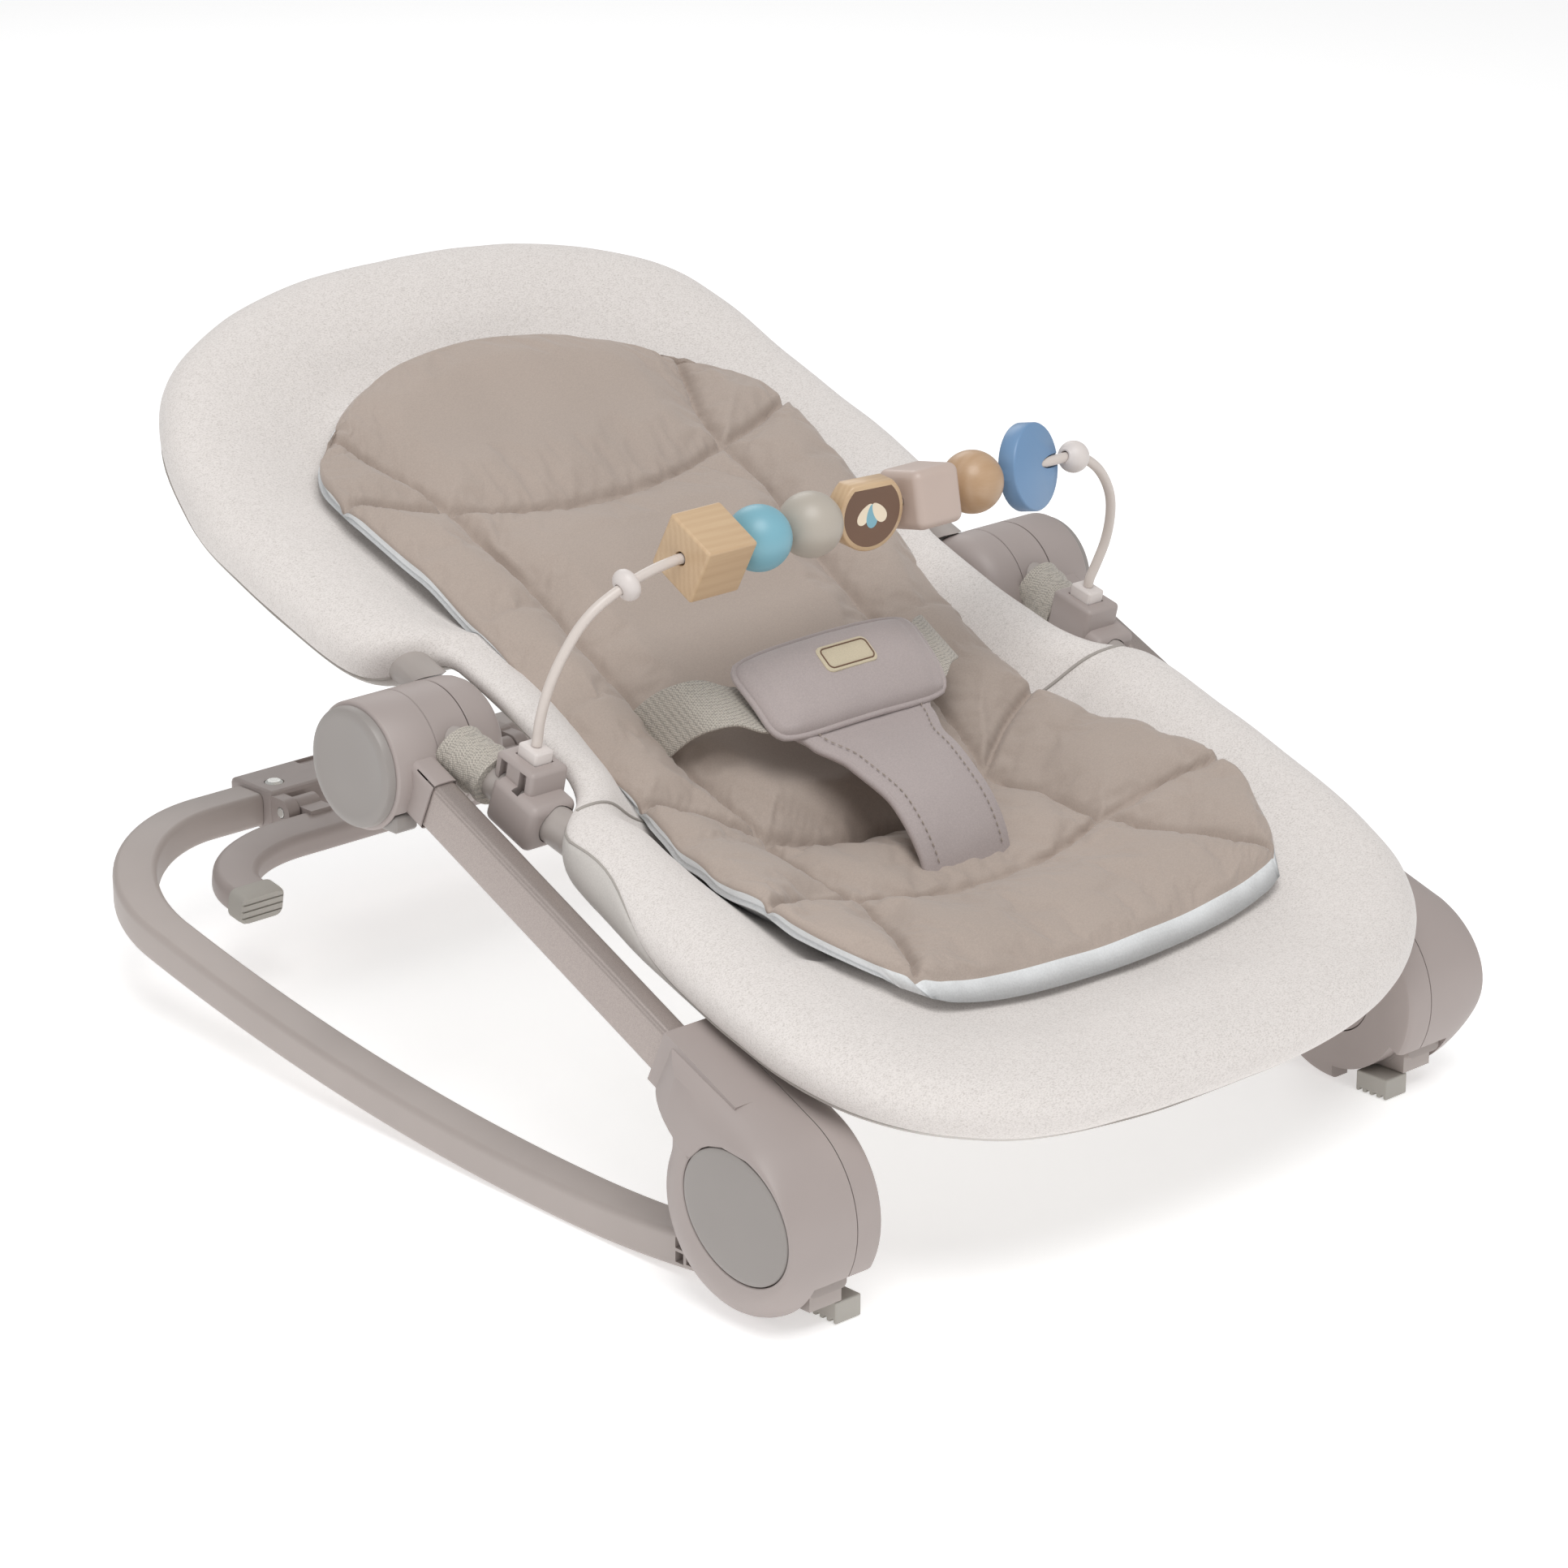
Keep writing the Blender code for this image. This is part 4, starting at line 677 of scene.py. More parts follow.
def loop_path(start, straight, s_corner, s_end, steps=24):
    half = [start] + straight
    for k in range(1, steps + 1):
        a = math.pi / 2 * k / steps
        x = HALF_W * math.cos(a) ** (2 / CORNER_POWER) if k < steps else 0.0
        half.append((x, s_corner + (s_end - s_corner) * math.sin(a) ** (2 / CORNER_POWER)))
    half = [(-x, s) for x, s in half]
    return half + [(-x, s) for x, s in half[-2::-1]]


def loft_tube(name, pts, r, mat, n=20):
    path = [line_point(s, 0.0, x) for x, s in pts]
    rings = []
    for i, p in enumerate(path):
        t = (path[min(i + 1, len(path) - 1)] - path[max(i - 1, 0)]).normalized()
        a = slope_at(pts[i][1])
        nrm = Vector((0, -math.sin(a), math.cos(a)))
        nrm = (nrm - t * nrm.dot(t)).normalized()
        side = t.cross(nrm)
        rings.append([p + side * u + nrm * v for u, v in circle(r, n)])
    return make(name, *skin(rings), mat)


SEAT_PTS = loop_path((0.1798, -0.008), [(0.1790, -0.030), (0.1755, -0.052), (0.1730, -0.075), (0.1700, -0.100),
                                        (0.1695, -0.130), (0.1705, -0.165), (0.1710, -0.195),
                                        (HALF_W, -0.228)], -0.228, -0.331)
BACK_PTS = loop_path((0.1595, 0.008), [(0.1600, 0.030), (0.1655, 0.050), (0.1695, 0.075), (HALF_W, 0.100),
                                       (HALF_W, 0.120)], 0.120, 0.263)

CENTRE_DEPTH = [(-0.331, -0.010), (-0.252, 0.004), (-0.200, 0.022), (-0.120, 0.046),
                (-0.060, 0.034), (0.0, 0.022), (0.055, 0.011), (0.100, 0.003), (0.263, -0.006)]
TOP_AT_RIM = 0.0112


def fabric_top(x, s, half):
    t = min(abs(x) / half, 1.0)
    return TOP_AT_RIM - (mix(CENTRE_DEPTH, s) + TOP_AT_RIM) * (1 - t * t) ** 1.4


def frame_tubes():
    for name, pts, body in (("seat_frame", SEAT_PTS, "chassis"), ("back_frame", BACK_PTS, "backrest")):
        ob = loft_tube(name + "_tube", pts, 0.0090, STEEL)
        for sx in (-1, 1):
            a, b = sorted((sx * 0.1450, sx * 0.1900))
            cut(ob, lathe_x("k", [(a, 0.0293), (b, 0.0293)], UP_Y, UP_Z, STEEL, 64))
        ob.name = name + "_vis"
        place(soften(ob, 0.0003), body, name)


# ---------------------------------------------------------------- cover
def spline(points, n):
    """Catmull-Rom through (x, s) points, resampled evenly."""
    P = np.array(points, float)
    P = np.vstack([2 * P[0] - P[1], P, 2 * P[-1] - P[-2]])
    out = []
    for i in range(1, len(P) - 2):
        for k in range(24):
            t = k / 24
            a, b, c, d = P[i - 1], P[i], P[i + 1], P[i + 2]
            out.append(0.5 * (2 * b + (c - a) * t + (2 * a - 5 * b + 4 * c - d) * t * t
                              + (3 * b - a - 3 * c + d) * t ** 3))
    out.append(P[-2])
    out = np.array(out)
    d = np.concatenate([[0], np.cumsum(np.linalg.norm(np.diff(out, axis=0), axis=1))])
    q = np.linspace(0, d[-1], n)
    return np.stack([np.interp(q, d, out[:, 0]), np.interp(q, d, out[:, 1])], axis=1)


COVER_OUT = [(0.0, -0.3475), (0.045, -0.3465), (0.087, -0.3410), (0.115, -0.3330), (0.137, -0.3220),
             (0.160, -0.3050), (0.176, -0.2840), (0.185, -0.2610), (0.1895, -0.2270), (0.1900, -0.2000),
             (0.1895, -0.1700), (0.1880, -0.1400), (0.1865, -0.1220), (0.1830, -0.1070), (0.1740, -0.0980),
             (0.1600, -0.0880), (0.1510, -0.0700), (0.1480, -0.0450), (0.1465, -0.0150), (0.1465, 0.0100),
             (0.1480, 0.0200), (0.1550, 0.0275), (0.1670, 0.0315), (0.1780, 0.0365), (0.1845, 0.0450),
             (0.1875, 0.0580), (0.1890, 0.0780), (0.1900, 0.1000), (0.1895, 0.1300), (0.1880, 0.1550), (0.1850, 0.1720),
             (0.1790, 0.1980), (0.1710, 0.2160), (0.1590, 0.2340), (0.1390, 0.2500), (0.1080, 0.2650),
             (0.0730, 0.2745), (0.0380, 0.2790), (0.0, 0.2805)]


def rim_share(s):
    """1 where the cover wraps the tube, 0 along the open sides."""
    return 1.0 - mix([(-0.116, 0.0), (-0.092, 1.0), (0.018, 1.0), (0.038, 0.0)], s)


def cover():
    right = spline(COVER_OUT, 150)
    left = right[::-1][1:-1] * np.array([-1, 1])
    loop = np.vstack([right, left])
    rings_top, rings_rim, rings_low = 22, 14, 12
    rows, kinds = [], []
    cols = []
    for x, s in loop:
        anchor = np.array([0.0, min(max(s, -0.205), 0.150)])
        o = np.array([x, s])
        length = np.linalg.norm(o - anchor)
        k = rim_share(s)
        rd, rh, h0 = 0.0060 + 0.0122 * k, 0.0046 + 0.0104 * k, 0.0070 * (1 - k)
        seam = -30.0 + 74.0 * math.exp(-((s + 0.130) / 0.042) ** 2)
        col = []

        def top_h(p, d):
            dip = fabric_top(p[0], p[1], max(abs(x) if s > -0.22 and s < 0.12 else HALF_W, 0.10)) + 0.0018
            dip -= 0.0090 * math.exp(-((p[1] + 0.075) / 0.050) ** 2 - ((abs(p[0]) - 0.112) / 0.028) ** 2)
            crest = h0 + rh
            return crest + (dip - crest) * smooth((d - rd) / (0.030 + 0.022 * k))

        for j in range(rings_top):
            f = (j / rings_top) ** 0.85
            d = rd + (length - rd) * (1 - f)
            p = o + (anchor - o) * (d / length)
            col.append((p, top_h(p, d), 0))
        angles = list(np.linspace(90, seam + 5, 8)) + [seam, seam - 5] + list(np.linspace(seam - 14, -90, 6))
        for j, deg in enumerate(angles):
            a = math.radians(deg)
            squeeze = 0.945 if j == 8 else 1.0
            d = rd * (1 - math.cos(a) * squeeze)
            p = o + (anchor - o) * (d / length)
            power = 0.86
            sn = math.copysign(abs(math.sin(a)) ** power, a)
            col.append((p, h0 + rh * sn * squeeze, 0 if j < 8 else 1))
        for j in range(1, rings_low + 1):
            f = j / rings_low
            d = rd + (length - rd) * f
            p = o + (anchor - o) * (d / length)
            low = top_h(p, d) - 0.0062
            base = h0 - rh
            col.append((p, base + (low - base) * smooth((d - rd) / 0.035), 1))
        cols.append(col)
    n, m = len(cols), len(cols[0])
    line = [line_point(p[1], h, p[0]) for p, h, _ in (col[rings_top + 8] for col in cols)]
    piping = make("cover_seam", *skin(sweep_rings(line + [line[0]], circle(0.0007, 6))[:-1], closed=True), SEAMM, 180)
    verts, faces, slots = [], [], []
    for col in cols:
        for p, h, kind in col:
            verts.append(line_point(p[1], h, p[0]))
    for i in range(n):
        a, b = i * m, ((i + 1) % n) * m
        for j in range(m - 1):
            faces.append((a + j, b + j, b + j + 1, a + j + 1))
            slots.append(1 if cols[i][j][2] and cols[i][j + 1][2] else 0)
    ob = make("seat_fabric", verts, faces, [JERSEY, UNDER], 180, slots)
    bm = bmesh.new()
    bm.from_mesh(ob.data)
    bmesh.ops.remove_doubles(bm, verts=bm.verts, dist=0.0004)
    bmesh.ops.recalc_face_normals(bm, faces=bm.faces)
    # slow waves of the padding under the knit
    for v in bm.verts:
        q = v.co * 17
        v.co += v.normal * 0.0011 * (noise.noise(q) + 0.5 * noise.noise(q * 2.3))
    bm.to_mesh(ob.data)
    bm.free()
    ob.data.shade_smooth()
    sub = ob.modifiers.new("smooth", "SUBSURF")
    sub.levels = sub.render_levels = 1
    apply_all(ob)
    return ob, piping


def seam_on(ob, name, lines, r, mat):
    """Round seam cords laid on a surface along (x, s) lines."""
    tree = BVHTree.FromPolygons([v.co for v in ob.data.vertices], [tuple(p.vertices) for p in ob.data.polygons])
    verts, faces = [], []
    for line in lines:
        path = []
        for x, s in spline(line, 40):
            a = slope_at(s)
            hit = tree.ray_cast(line_point(s, 0.06, x), Vector((0, math.sin(a), -math.cos(a))))[0]
            if hit:
                path.append(hit)
        v, f = skin(sweep_rings(path, circle(r, 6)))
        base = len(verts)
        verts += v
        faces += [tuple(base + i for i in face) for face in f]
    return make(name, verts, faces, mat, 180)


# ---------------------------------------------------------------- quilted insert
INSERT_OUT_SIDE = [(0.1115, -0.2540), (0.1220, -0.2400), (0.1320, -0.2200), (0.1385, -0.2040), (0.1400, -0.1900),
                   (0.1405, -0.1700), (0.1370, -0.1450), (0.1300, -0.1200), (0.1240, -0.0985), (0.1215, -0.0900),
                   (0.1220, -0.0700), (0.1228, -0.0400), (0.1245, 0.0000), (0.1272, 0.0300), (0.1315, 0.0700),
                   (0.1352, 0.1050), (0.1360, 0.1200), (0.1330, 0.1400), (0.1230, 0.1580), (0.1060, 0.1725)]
INSERT_FRONT = [(-0.1115, -0.2540), (-0.0980, -0.2580), (-0.0600, -0.2630), (0.0, -0.2655), (0.0600, -0.2630),
                (0.0980, -0.2580), (0.1115, -0.2540)]
INSERT_HEAD = [(-0.1060, 0.1725), (-0.0930, 0.1870), (-0.0720, 0.2005), (-0.0400, 0.2110), (0.0, 0.2150),
               (0.0400, 0.2110), (0.0720, 0.2005), (0.0930, 0.1870), (0.1060, 0.1725)]
CENTRE_TOP = [(-0.266, 0.0115), (-0.235, 0.0040), (-0.199, -0.0085), (-0.165, -0.0190), (-0.128, -0.0290),
              (-0.100, -0.0225), (0.0, -0.0040), (0.060, 0.0060), (0.099, 0.0110), (0.215, 0.0130)]
EDGE_TOP = [(-0.266, 0.0150), (-0.2540, 0.0190), (-0.190, 0.0190), (-0.150, 0.0080), (-0.120, -0.0010),
            (-0.090, -0.0045), (-0.060, -0.0040), (-0.030, 0.0005), (0.028, 0.0130), (0.070, 0.0200),
            (0.118, 0.0226), (0.1725, 0.0190), (0.215, 0.0160)]
SEAMS = [[(-0.085, 0.106), (-0.050, 0.0975), (0.0, 0.0945), (0.050, 0.0975), (0.085, 0.106)],
         [(0.085, 0.106), (0.090, 0.128), (0.099, 0.150), (0.106, 0.1725)],
         [(0.085, 0.106), (0.112, 0.112), (0.1360, 0.120)],
         [(0.085, 0.106), (0.084, 0.075), (0.081, 0.040), (0.079, 0.0), (0.078, -0.035), (0.076, -0.075),
          (0.068, -0.118)],
         [(0.1215, -0.090), (0.095, -0.101), (0.068, -0.118)],
         [(0.1400, -0.190), (0.108, -0.183), (0.078, -0.182)],
         [(0.068, -0.118), (0.076, -0.150), (0.078, -0.182), (0.088, -0.212), (0.1115, -0.2540)],
         [(-0.078, -0.182), (-0.040, -0.190), (0.0, -0.192), (0.040, -0.190), (0.078, -0.182)],
         [(-0.068, -0.118), (-0.030, -0.127), (0.0, -0.128), (0.030, -0.127), (0.068, -0.118)]]


def both_sides(lines):
    out = []
    for line in lines:
        out.append(line)
        if min(p[0] for p in line) > 0:
            out.append([(-x, s) for x, s in line])
    return out


def seam_paths(step=0.001):
    out = []
    for line in both_sides(SEAMS):
        length = sum(math.dist(a, b) for a, b in zip(line, line[1:]))
        out.append(spline(line, max(8, int(length / step))))
    return out


def insert_half(s):
    pts = INSERT_OUT_SIDE
    if s <= pts[0][1]:
        return pts[0][0]
    for (x0, s0), (x1, s1) in zip(pts, pts[1:]):
        if s <= s1:
            return x0 + (x1 - x0) * (s - s0) / (s1 - s0)
    return pts[-1][0]


def insert_base(x, s):
    """Height of the insert's sewn upper face before the filling lifts it."""
    c, e = mix(CENTRE_TOP, s), mix(EDGE_TOP, s)
    t = min(abs(x) / insert_half(s), 1.1)
    return c + (e - c) * t ** 2.3


def pressed(ob, pins, frames=20, pressure=4.0, grow=0.05, cap=0.007):
    """Fills a closed quilt by cloth simulation, its seams held, and keeps the result."""
    rest = np.array([v.co for v in ob.data.vertices])
    group = ob.vertex_groups.new(name="sewn")
    for i, w in enumerate(pins):
        if w > 0:
            group.add([i], float(w), "REPLACE")
    mod = ob.modifiers.new("cloth", "CLOTH")
    st = mod.settings
    st.quality, st.mass, st.vertex_group_mass, st.pin_stiffness = 6, 0.25, "sewn", 1.0
    st.tension_stiffness = st.compression_stiffness = 12
    st.shear_stiffness, st.bending_stiffness = 4, 0.25
    st.tension_damping = st.compression_damping = st.shear_damping = 12
    st.use_pressure, st.uniform_pressure_force, st.shrink_min = True, pressure, -grow
    st.effector_weights.gravity = 0
    mod.collision_settings.use_collision = False
    scene = bpy.context.scene
    scene.frame_start, scene.frame_end = 1, frames
    mod.point_cache.frame_start, mod.point_cache.frame_end = 1, frames
    for f in range(1, frames + 1):
        scene.frame_set(f)
    graph = bpy.context.evaluated_depsgraph_get()
    mesh = ob.evaluated_get(graph).to_mesh()
    moved = np.array([v.co for v in mesh.vertices])
    ob.evaluated_get(graph).to_mesh_clear()
    ob.modifiers.clear()
    d = moved - rest
    length = np.linalg.norm(d, axis=1, keepdims=True)
    d *= np.minimum(1.0, cap / np.maximum(length, 1e-9))
    ob.data.vertices.foreach_set("co", (rest + d).ravel())
    ob.data.update()
    scene.frame_set(1)
    return ob


def insert():
    nx, ns = ((100, 176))
    side = spline(INSERT_OUT_SIDE, ns + 1)
    front, head = spline(INSERT_FRONT, nx + 1), spline(INSERT_HEAD, nx + 1)
    grid = np.zeros((ns + 1, nx + 1, 2))
    for i in range(ns + 1):
        v = i / ns
        r, l = side[i], side[i] * np.array([-1, 1])
        for j in range(nx + 1):
            u = j / nx
            f, h = front[j], head[j]
            corner = ((1 - u) * (1 - v) * front[0] + u * (1 - v) * front[-1]
                      + (1 - u) * v * head[0] + u * v * head[-1])
            grid[i, j] = (1 - u) * l + u * r + (1 - v) * f + v * h - corner
    paths = np.vstack(seam_paths())
    flat = grid.reshape(-1, 2)
    dist = distance_to(flat, paths)
    n = nx + 1
    edge = np.zeros((ns + 1, n), bool)
    edge[0], edge[-1], edge[:, 0], edge[:, -1] = True, True, True, True
    edge = edge.reshape(-1)
    # distance to the rim, for the drape of the lower face
    dr = distance_to(flat, flat[edge])
    top, low = [], []
    for k, (x, s) in enumerate(flat):
        q = min(dist[k], dr[k]) / 0.027
        lift = 0.0098 * math.sqrt(1 - (1 - min(q, 1.0)) ** 2)
        top.append(line_point(s, insert_base(x, s) + lift, x))
        thick = 0.0062 + 0.0070 * smooth(dr[k] / 0.030)
        grow = 0.965 if edge[k] else 1.0
        low.append(line_point(s * (2 - grow) if s < -0.24 else s, insert_base(x, s) - thick, x * grow))
    ob = closed_quilt("quilt", np.array(top).reshape(ns + 1, n, 3), np.array(low).reshape(ns + 1, n, 3))
    pins = []
    for k in range(len(flat)):
        pins.append(1.0 if edge[k] or dist[k] < 0.0019 else 0.0)
    pins += [1.0] * len(flat)
    pressed(ob, pins, 14, 5.0, 0.02, 0.004)
    # the filled shape is read on a finer grid, which is sharp enough for the sewn channels
    shape = np.array([v.co for v in ob.data.vertices]).reshape(2, ns + 1, n, 3)
    top, low = refined(shape[0]), refined(shape[1])
    fine = refined(grid)
    dist = distance_to(fine.reshape(-1, 2), paths).reshape(fine.shape[:2])
    for i in range(fine.shape[0]):
        for j in range(fine.shape[1]):
            x, s = fine[i, j]
            d = dist[i, j]
            a = slope_at(s)
            up = np.array((0.0, -math.sin(a), math.cos(a)))
            sunk = 0.0026 * math.exp(-(d / 0.0021) ** 2) + 0.0012 * math.exp(-(d / 0.0065) ** 2)
            near = math.exp(-(d / 0.017) ** 2) * min(1.0, d / 0.004)
            gather = 0.0010 * near * noise.noise(Vector((x * 105, s * 105, 3.1)))
            slack = 0.0011 * noise.noise(Vector((x * 32, s * 21, 7.7))) * min(1.0, d / 0.012)
            top[i, j] += up * (gather + slack - sunk)
    bpy.data.objects.remove(ob, do_unlink=True)
    ob = closed_quilt("quilted_insert", top, low)
    ob.data.shade_smooth()
    return ob


def distance_to(points, line):
    """Shortest distance from each point to a dense row of points."""
    out = np.full(len(points), 9.0)
    for k in range(0, len(line), 60):
        gap = points[:, None] - line[None, k:k + 60]
        out = np.minimum(out, np.sqrt((gap ** 2).sum(axis=2)).min(axis=1))
    return out


def refined(grid):
    """The same surface with twice the points along both sides, on a smooth curve through the old ones."""
    for axis in (0, 1):
        g = np.moveaxis(grid, axis, 0)
        ends = np.concatenate([2 * g[:1] - g[1:2], g, 2 * g[-1:] - g[-2:-1]])
        half = (9 * (ends[1:-2] + ends[2:-1]) - ends[:-3] - ends[3:]) / 16
        out = np.empty((2 * len(g) - 1,) + g.shape[1:])
        out[0::2], out[1::2] = g, half
        grid = np.moveaxis(out, 0, axis)
    return grid


def closed_quilt(name, top, low):
    """Two grids of points joined round their rim: pad cloth on top, white backing below."""
    rows, n = top.shape[:2]
    verts = np.concatenate([top.reshape(-1, 3), low.reshape(-1, 3)])
    under, faces, slots = rows * n, [], []
    for i in range(rows - 1):
        for j in range(n - 1):
            a = i * n + j
            faces += [(a, a + 1, a + n + 1, a + n),
                      (under + a, under + a + n, under + a + n + 1, under + a + 1)]
            slots += [0, 1]
    ring = (list(range(n)) + [i * n + n - 1 for i in range(1, rows)]
            + [(rows - 1) * n + j for j in range(n - 2, -1, -1)] + [i * n for i in range(rows - 2, 0, -1)])
    for a, b in zip(ring, ring[1:] + ring[:1]):
        faces.append((a, b, under + b, under + a))
        slots.append(1)
    mesh = bpy.data.meshes.new(name)
    mesh.from_pydata([tuple(v) for v in verts], [], faces)
    mesh.materials.append(PADM)
    mesh.materials.append(BACKING)
    mesh.polygons.foreach_set("material_index", slots)
    mesh.update()
    bm = bmesh.new()
    bm.from_mesh(mesh)
    bmesh.ops.recalc_face_normals(bm, faces=bm.faces)
    bm.to_mesh(mesh)
    bm.free()
    ob = bpy.data.objects.new(name, mesh)
    bpy.context.scene.collection.objects.link(ob)
    return ob


def stitches(name, lines, height, gap=0.0042, length=0.0026, r=0.00032, mat=None):
    """Short rounded threads along lines given in (x, s) over a height function."""
    verts, faces = [], []
    for line in lines:
        seg = np.linalg.norm(np.diff(line, axis=0), axis=1)
        d = np.concatenate([[0], np.cumsum(seg)])
        for q in np.arange(gap / 2, d[-1] - length, gap):
            ends = []
            for t in (q, q + length / 2, q + length):
                x, s = np.interp(t, d, line[:, 0]), np.interp(t, d, line[:, 1])
                ends.append((x, s))
            pts = [line_point(s, height(x, s) + (0.0002 if i == 1 else -0.0002), x)
                   for i, (x, s) in enumerate(ends)]
            path = [pts[0], pts[0].lerp(pts[1], 0.5), pts[1], pts[1].lerp(pts[2], 0.5), pts[2]]
            sec = [circle(r * k, 6) for k in (0.3, 0.9, 1.0, 0.9, 0.3)]
            v, f = skin(sweep_rings(path, sec))
            base = len(verts)
            verts += v
            faces += [tuple(base + i for i in face) for face in f]
    return make(name, verts, faces, mat or THREAD, 180)


# ---------------------------------------------------------------- harness
def ribbon(name, centres, half_widths, thick, mat, axis=Vector((1, 0, 0)), crown=0.0, n_side=10, edge=0.0011):
    """A padded or woven strap along a path, with rounded sides and an optional crown."""
    rings = []
    for i, c in enumerate(centres):
        t = (centres[min(i + 1, len(centres) - 1)] - centres[max(i - 1, 0)]).normalized()
        nrm = axis.cross(t).normalized()
        w = half_widths[i]
        ring = []
        for k in range(n_side + 1):
            a = -1 + 2 * k / n_side
            ring.append(c + axis * (a * (w - edge)) + nrm * (thick / 2 + crown * (1 - a * a)))
        for k in range(1, 5):
            q = math.radians(90 - 36 * k)
            ring.append(c + axis * (w - edge + edge * math.cos(q)) + nrm * (thick / 2 * math.sin(q)))
        for k in range(n_side + 1):
            a = 1 - 2 * k / n_side
            ring.append(c + axis * (a * (w - edge)) - nrm * (thick / 2))
        for k in range(1, 5):
            q = math.radians(-90 - 36 * k)
            ring.append(c + axis * (-(w - edge) + edge * math.cos(q)) + nrm * (thick / 2 * math.sin(q)))
        rings.append(ring)
    return make(name, *skin(rings), mat, 60)


def curve3(points, n):
    P = [2 * points[0] - points[1]] + list(points) + [2 * points[-1] - points[-2]]
    out = []
    for i in range(1, len(P) - 2):
        for k in range(n):
            t = k / n
            a, b, c, d = P[i - 1], P[i], P[i + 1], P[i + 2]
            out.append(0.5 * (2 * b + (c - a) * t + (2 * a - 5 * b + 4 * c - d) * t * t
                              + (3 * b - a - 3 * c + d) * t ** 3))
    out.append(P[-2])
    return out


FLAP_C, FLAP_N, FLAP_DOWN = Vector((0, 0.1525, 0.1990)), Vector((0, -0.666, 0.746)), Vector((0, -0.746, -0.666))


def flap_point(a, b, h):
    """a across the flap, b down it, h out of its face; the flap bows a little."""
    bow = -0.0050 * (a / 0.056) ** 2 - 0.0028 * (b / 0.0225) ** 2
    return FLAP_C + Vector((a, 0, 0)) + FLAP_DOWN * b + FLAP_N * (h + bow)


def harness():
    foot = Vector((0, 0.0742, 0.1265))
    path = curve3([foot, Vector((0, 0.0775, 0.1370)), Vector((0, 0.0855, 0.1490)), Vector((0, 0.0965, 0.1590)),
                   Vector((0, 0.1120, 0.1670)), FLAP_C + FLAP_DOWN * 0.036 - FLAP_N * 0.0030,
                   FLAP_C + FLAP_DOWN * 0.024 - FLAP_N * 0.0072, FLAP_C + FLAP_DOWN * 0.012 - FLAP_N * 0.0076,
                   FLAP_C - FLAP_DOWN * 0.005 - FLAP_N * 0.0076], 7)
    table = [(0.0, 0.0255), (0.35, 0.0268), (0.55, 0.0300), (0.72, 0.0370), (0.85, 0.0440), (1.0, 0.0480)]
    widths = [mix(table, i / (len(path) - 1)) for i in range(len(path))]
    strap = ribbon("crotch_strap_vis", path, widths, 0.0046, HARN, crown=0.0012, n_side=14, edge=0.0016)
    for v in strap.data.vertices:
        v.co.z += 0.0005 * noise.noise(v.co * 90)
    place(strap, "chassis", "crotch_strap")
    # edge binding along both sides of the strap
    for sx, tag in ((-1, "l"), (1, "r")):
        rail = [p + Vector((sx * (w - 0.0012), 0, 0)) for p, w in zip(path, widths)]
        rings = sweep_rings(rail, circle(0.0021, 10), Vector((1, 0, 0)))
        place(make("strap_binding_" + tag, *skin(rings), HARN, 180), "chassis")
        threads(path[4:-12], [sx * (w - 0.0062) for w in widths[4:-12]], 0.0036, "strap_stitch_" + tag)

    nx, nb = 40, 20
    rows, low = [], []
    for i in range(nb + 1):
        b = -1 + 2 * i / nb
        row, under = [], []
        for j in range(nx + 1):
            a = -1 + 2 * j / nx
            # square to rounded rectangle, wider at the top edge
            ra = a * math.sqrt(max(0, 1 - 0.16 * b ** 6))
            rb = b * math.sqrt(max(0, 1 - 0.22 * a ** 6))
            x = ra * (0.0560 - 0.0030 * (rb + 1) / 2)
            y = rb * 0.0222
            d = max(abs(a), abs(b))
            puff = (1 - d ** 6) ** 0.5
            channel = 0.0010 * math.exp(-((d - 0.84) / 0.035) ** 2)
            ripple = 0.0004 * noise.noise(Vector((x * 120, y * 120, 1.7)))
            row.append(flap_point(x, y, 0.0006 + 0.0056 * puff - channel + ripple))
            under.append(flap_point(x, y, -0.0002 - 0.0040 * puff))
        rows.append(row)
        low.append(under)
    verts = [p for r in rows for p in r] + [p for r in low for p in r]
    n, base, faces = nx + 1, (nb + 1) * (nx + 1), []
    for i in range(nb):
        for j in range(nx):
            k = i * n + j
            faces.append((k, k + 1, k + n + 1, k + n))
            faces.append((base + k, base + k + n, base + k + n + 1, base + k + 1))
    ring = (list(range(n)) + [i * n + nx for i in range(1, nb + 1)] + [nb * n + j for j in range(nx - 1, -1, -1)]
            + [i * n for i in range(nb - 1, 0, -1)])
    for a, b in zip(ring, ring[1:] + ring[:1]):
        faces.append((a, b, base + b, base + a))
    flap = make("harness_flap_vis", verts, faces, HARN, 180)
    place(flap, "chassis", "harness_flap")
    rim = [(verts[k] + verts[base + k]) / 2 for k in ring]
    rings = sweep_rings(rim + [rim[0]], circle(0.0016, 10), FLAP_N)[:-1]
    place(make("flap_piping", *skin(rings, closed=True), HARN, 180), "chassis")

    patch = []
    for h, k in ((0.0030, 1.0), (0.0066, 1.0), (0.0070, 0.97), (0.0071, 0.90)):
        patch.append([flap_point(u, v, h) for u, v in
                      [(a, b - 0.0060) for a, b in rounded_rect(0.0310 * k, 0.0140 * k, 0.0035, 6)]])
    place(make("label_patch_vis", *skin(patch), LABEL, 40), "chassis", "label_patch")
    frame_line = [(a, b - 0.0060) for a, b in rounded_rect(0.0275, 0.0106, 0.0025, 8)]
    pts = [flap_point(a, b, 0.0072) for a, b in frame_line]
    rings = sweep_rings(pts + [pts[0]], circle(0.00035, 6), FLAP_N)[:-1]
    place(make("label_border", *skin(rings, closed=True), INK, 180), "chassis")

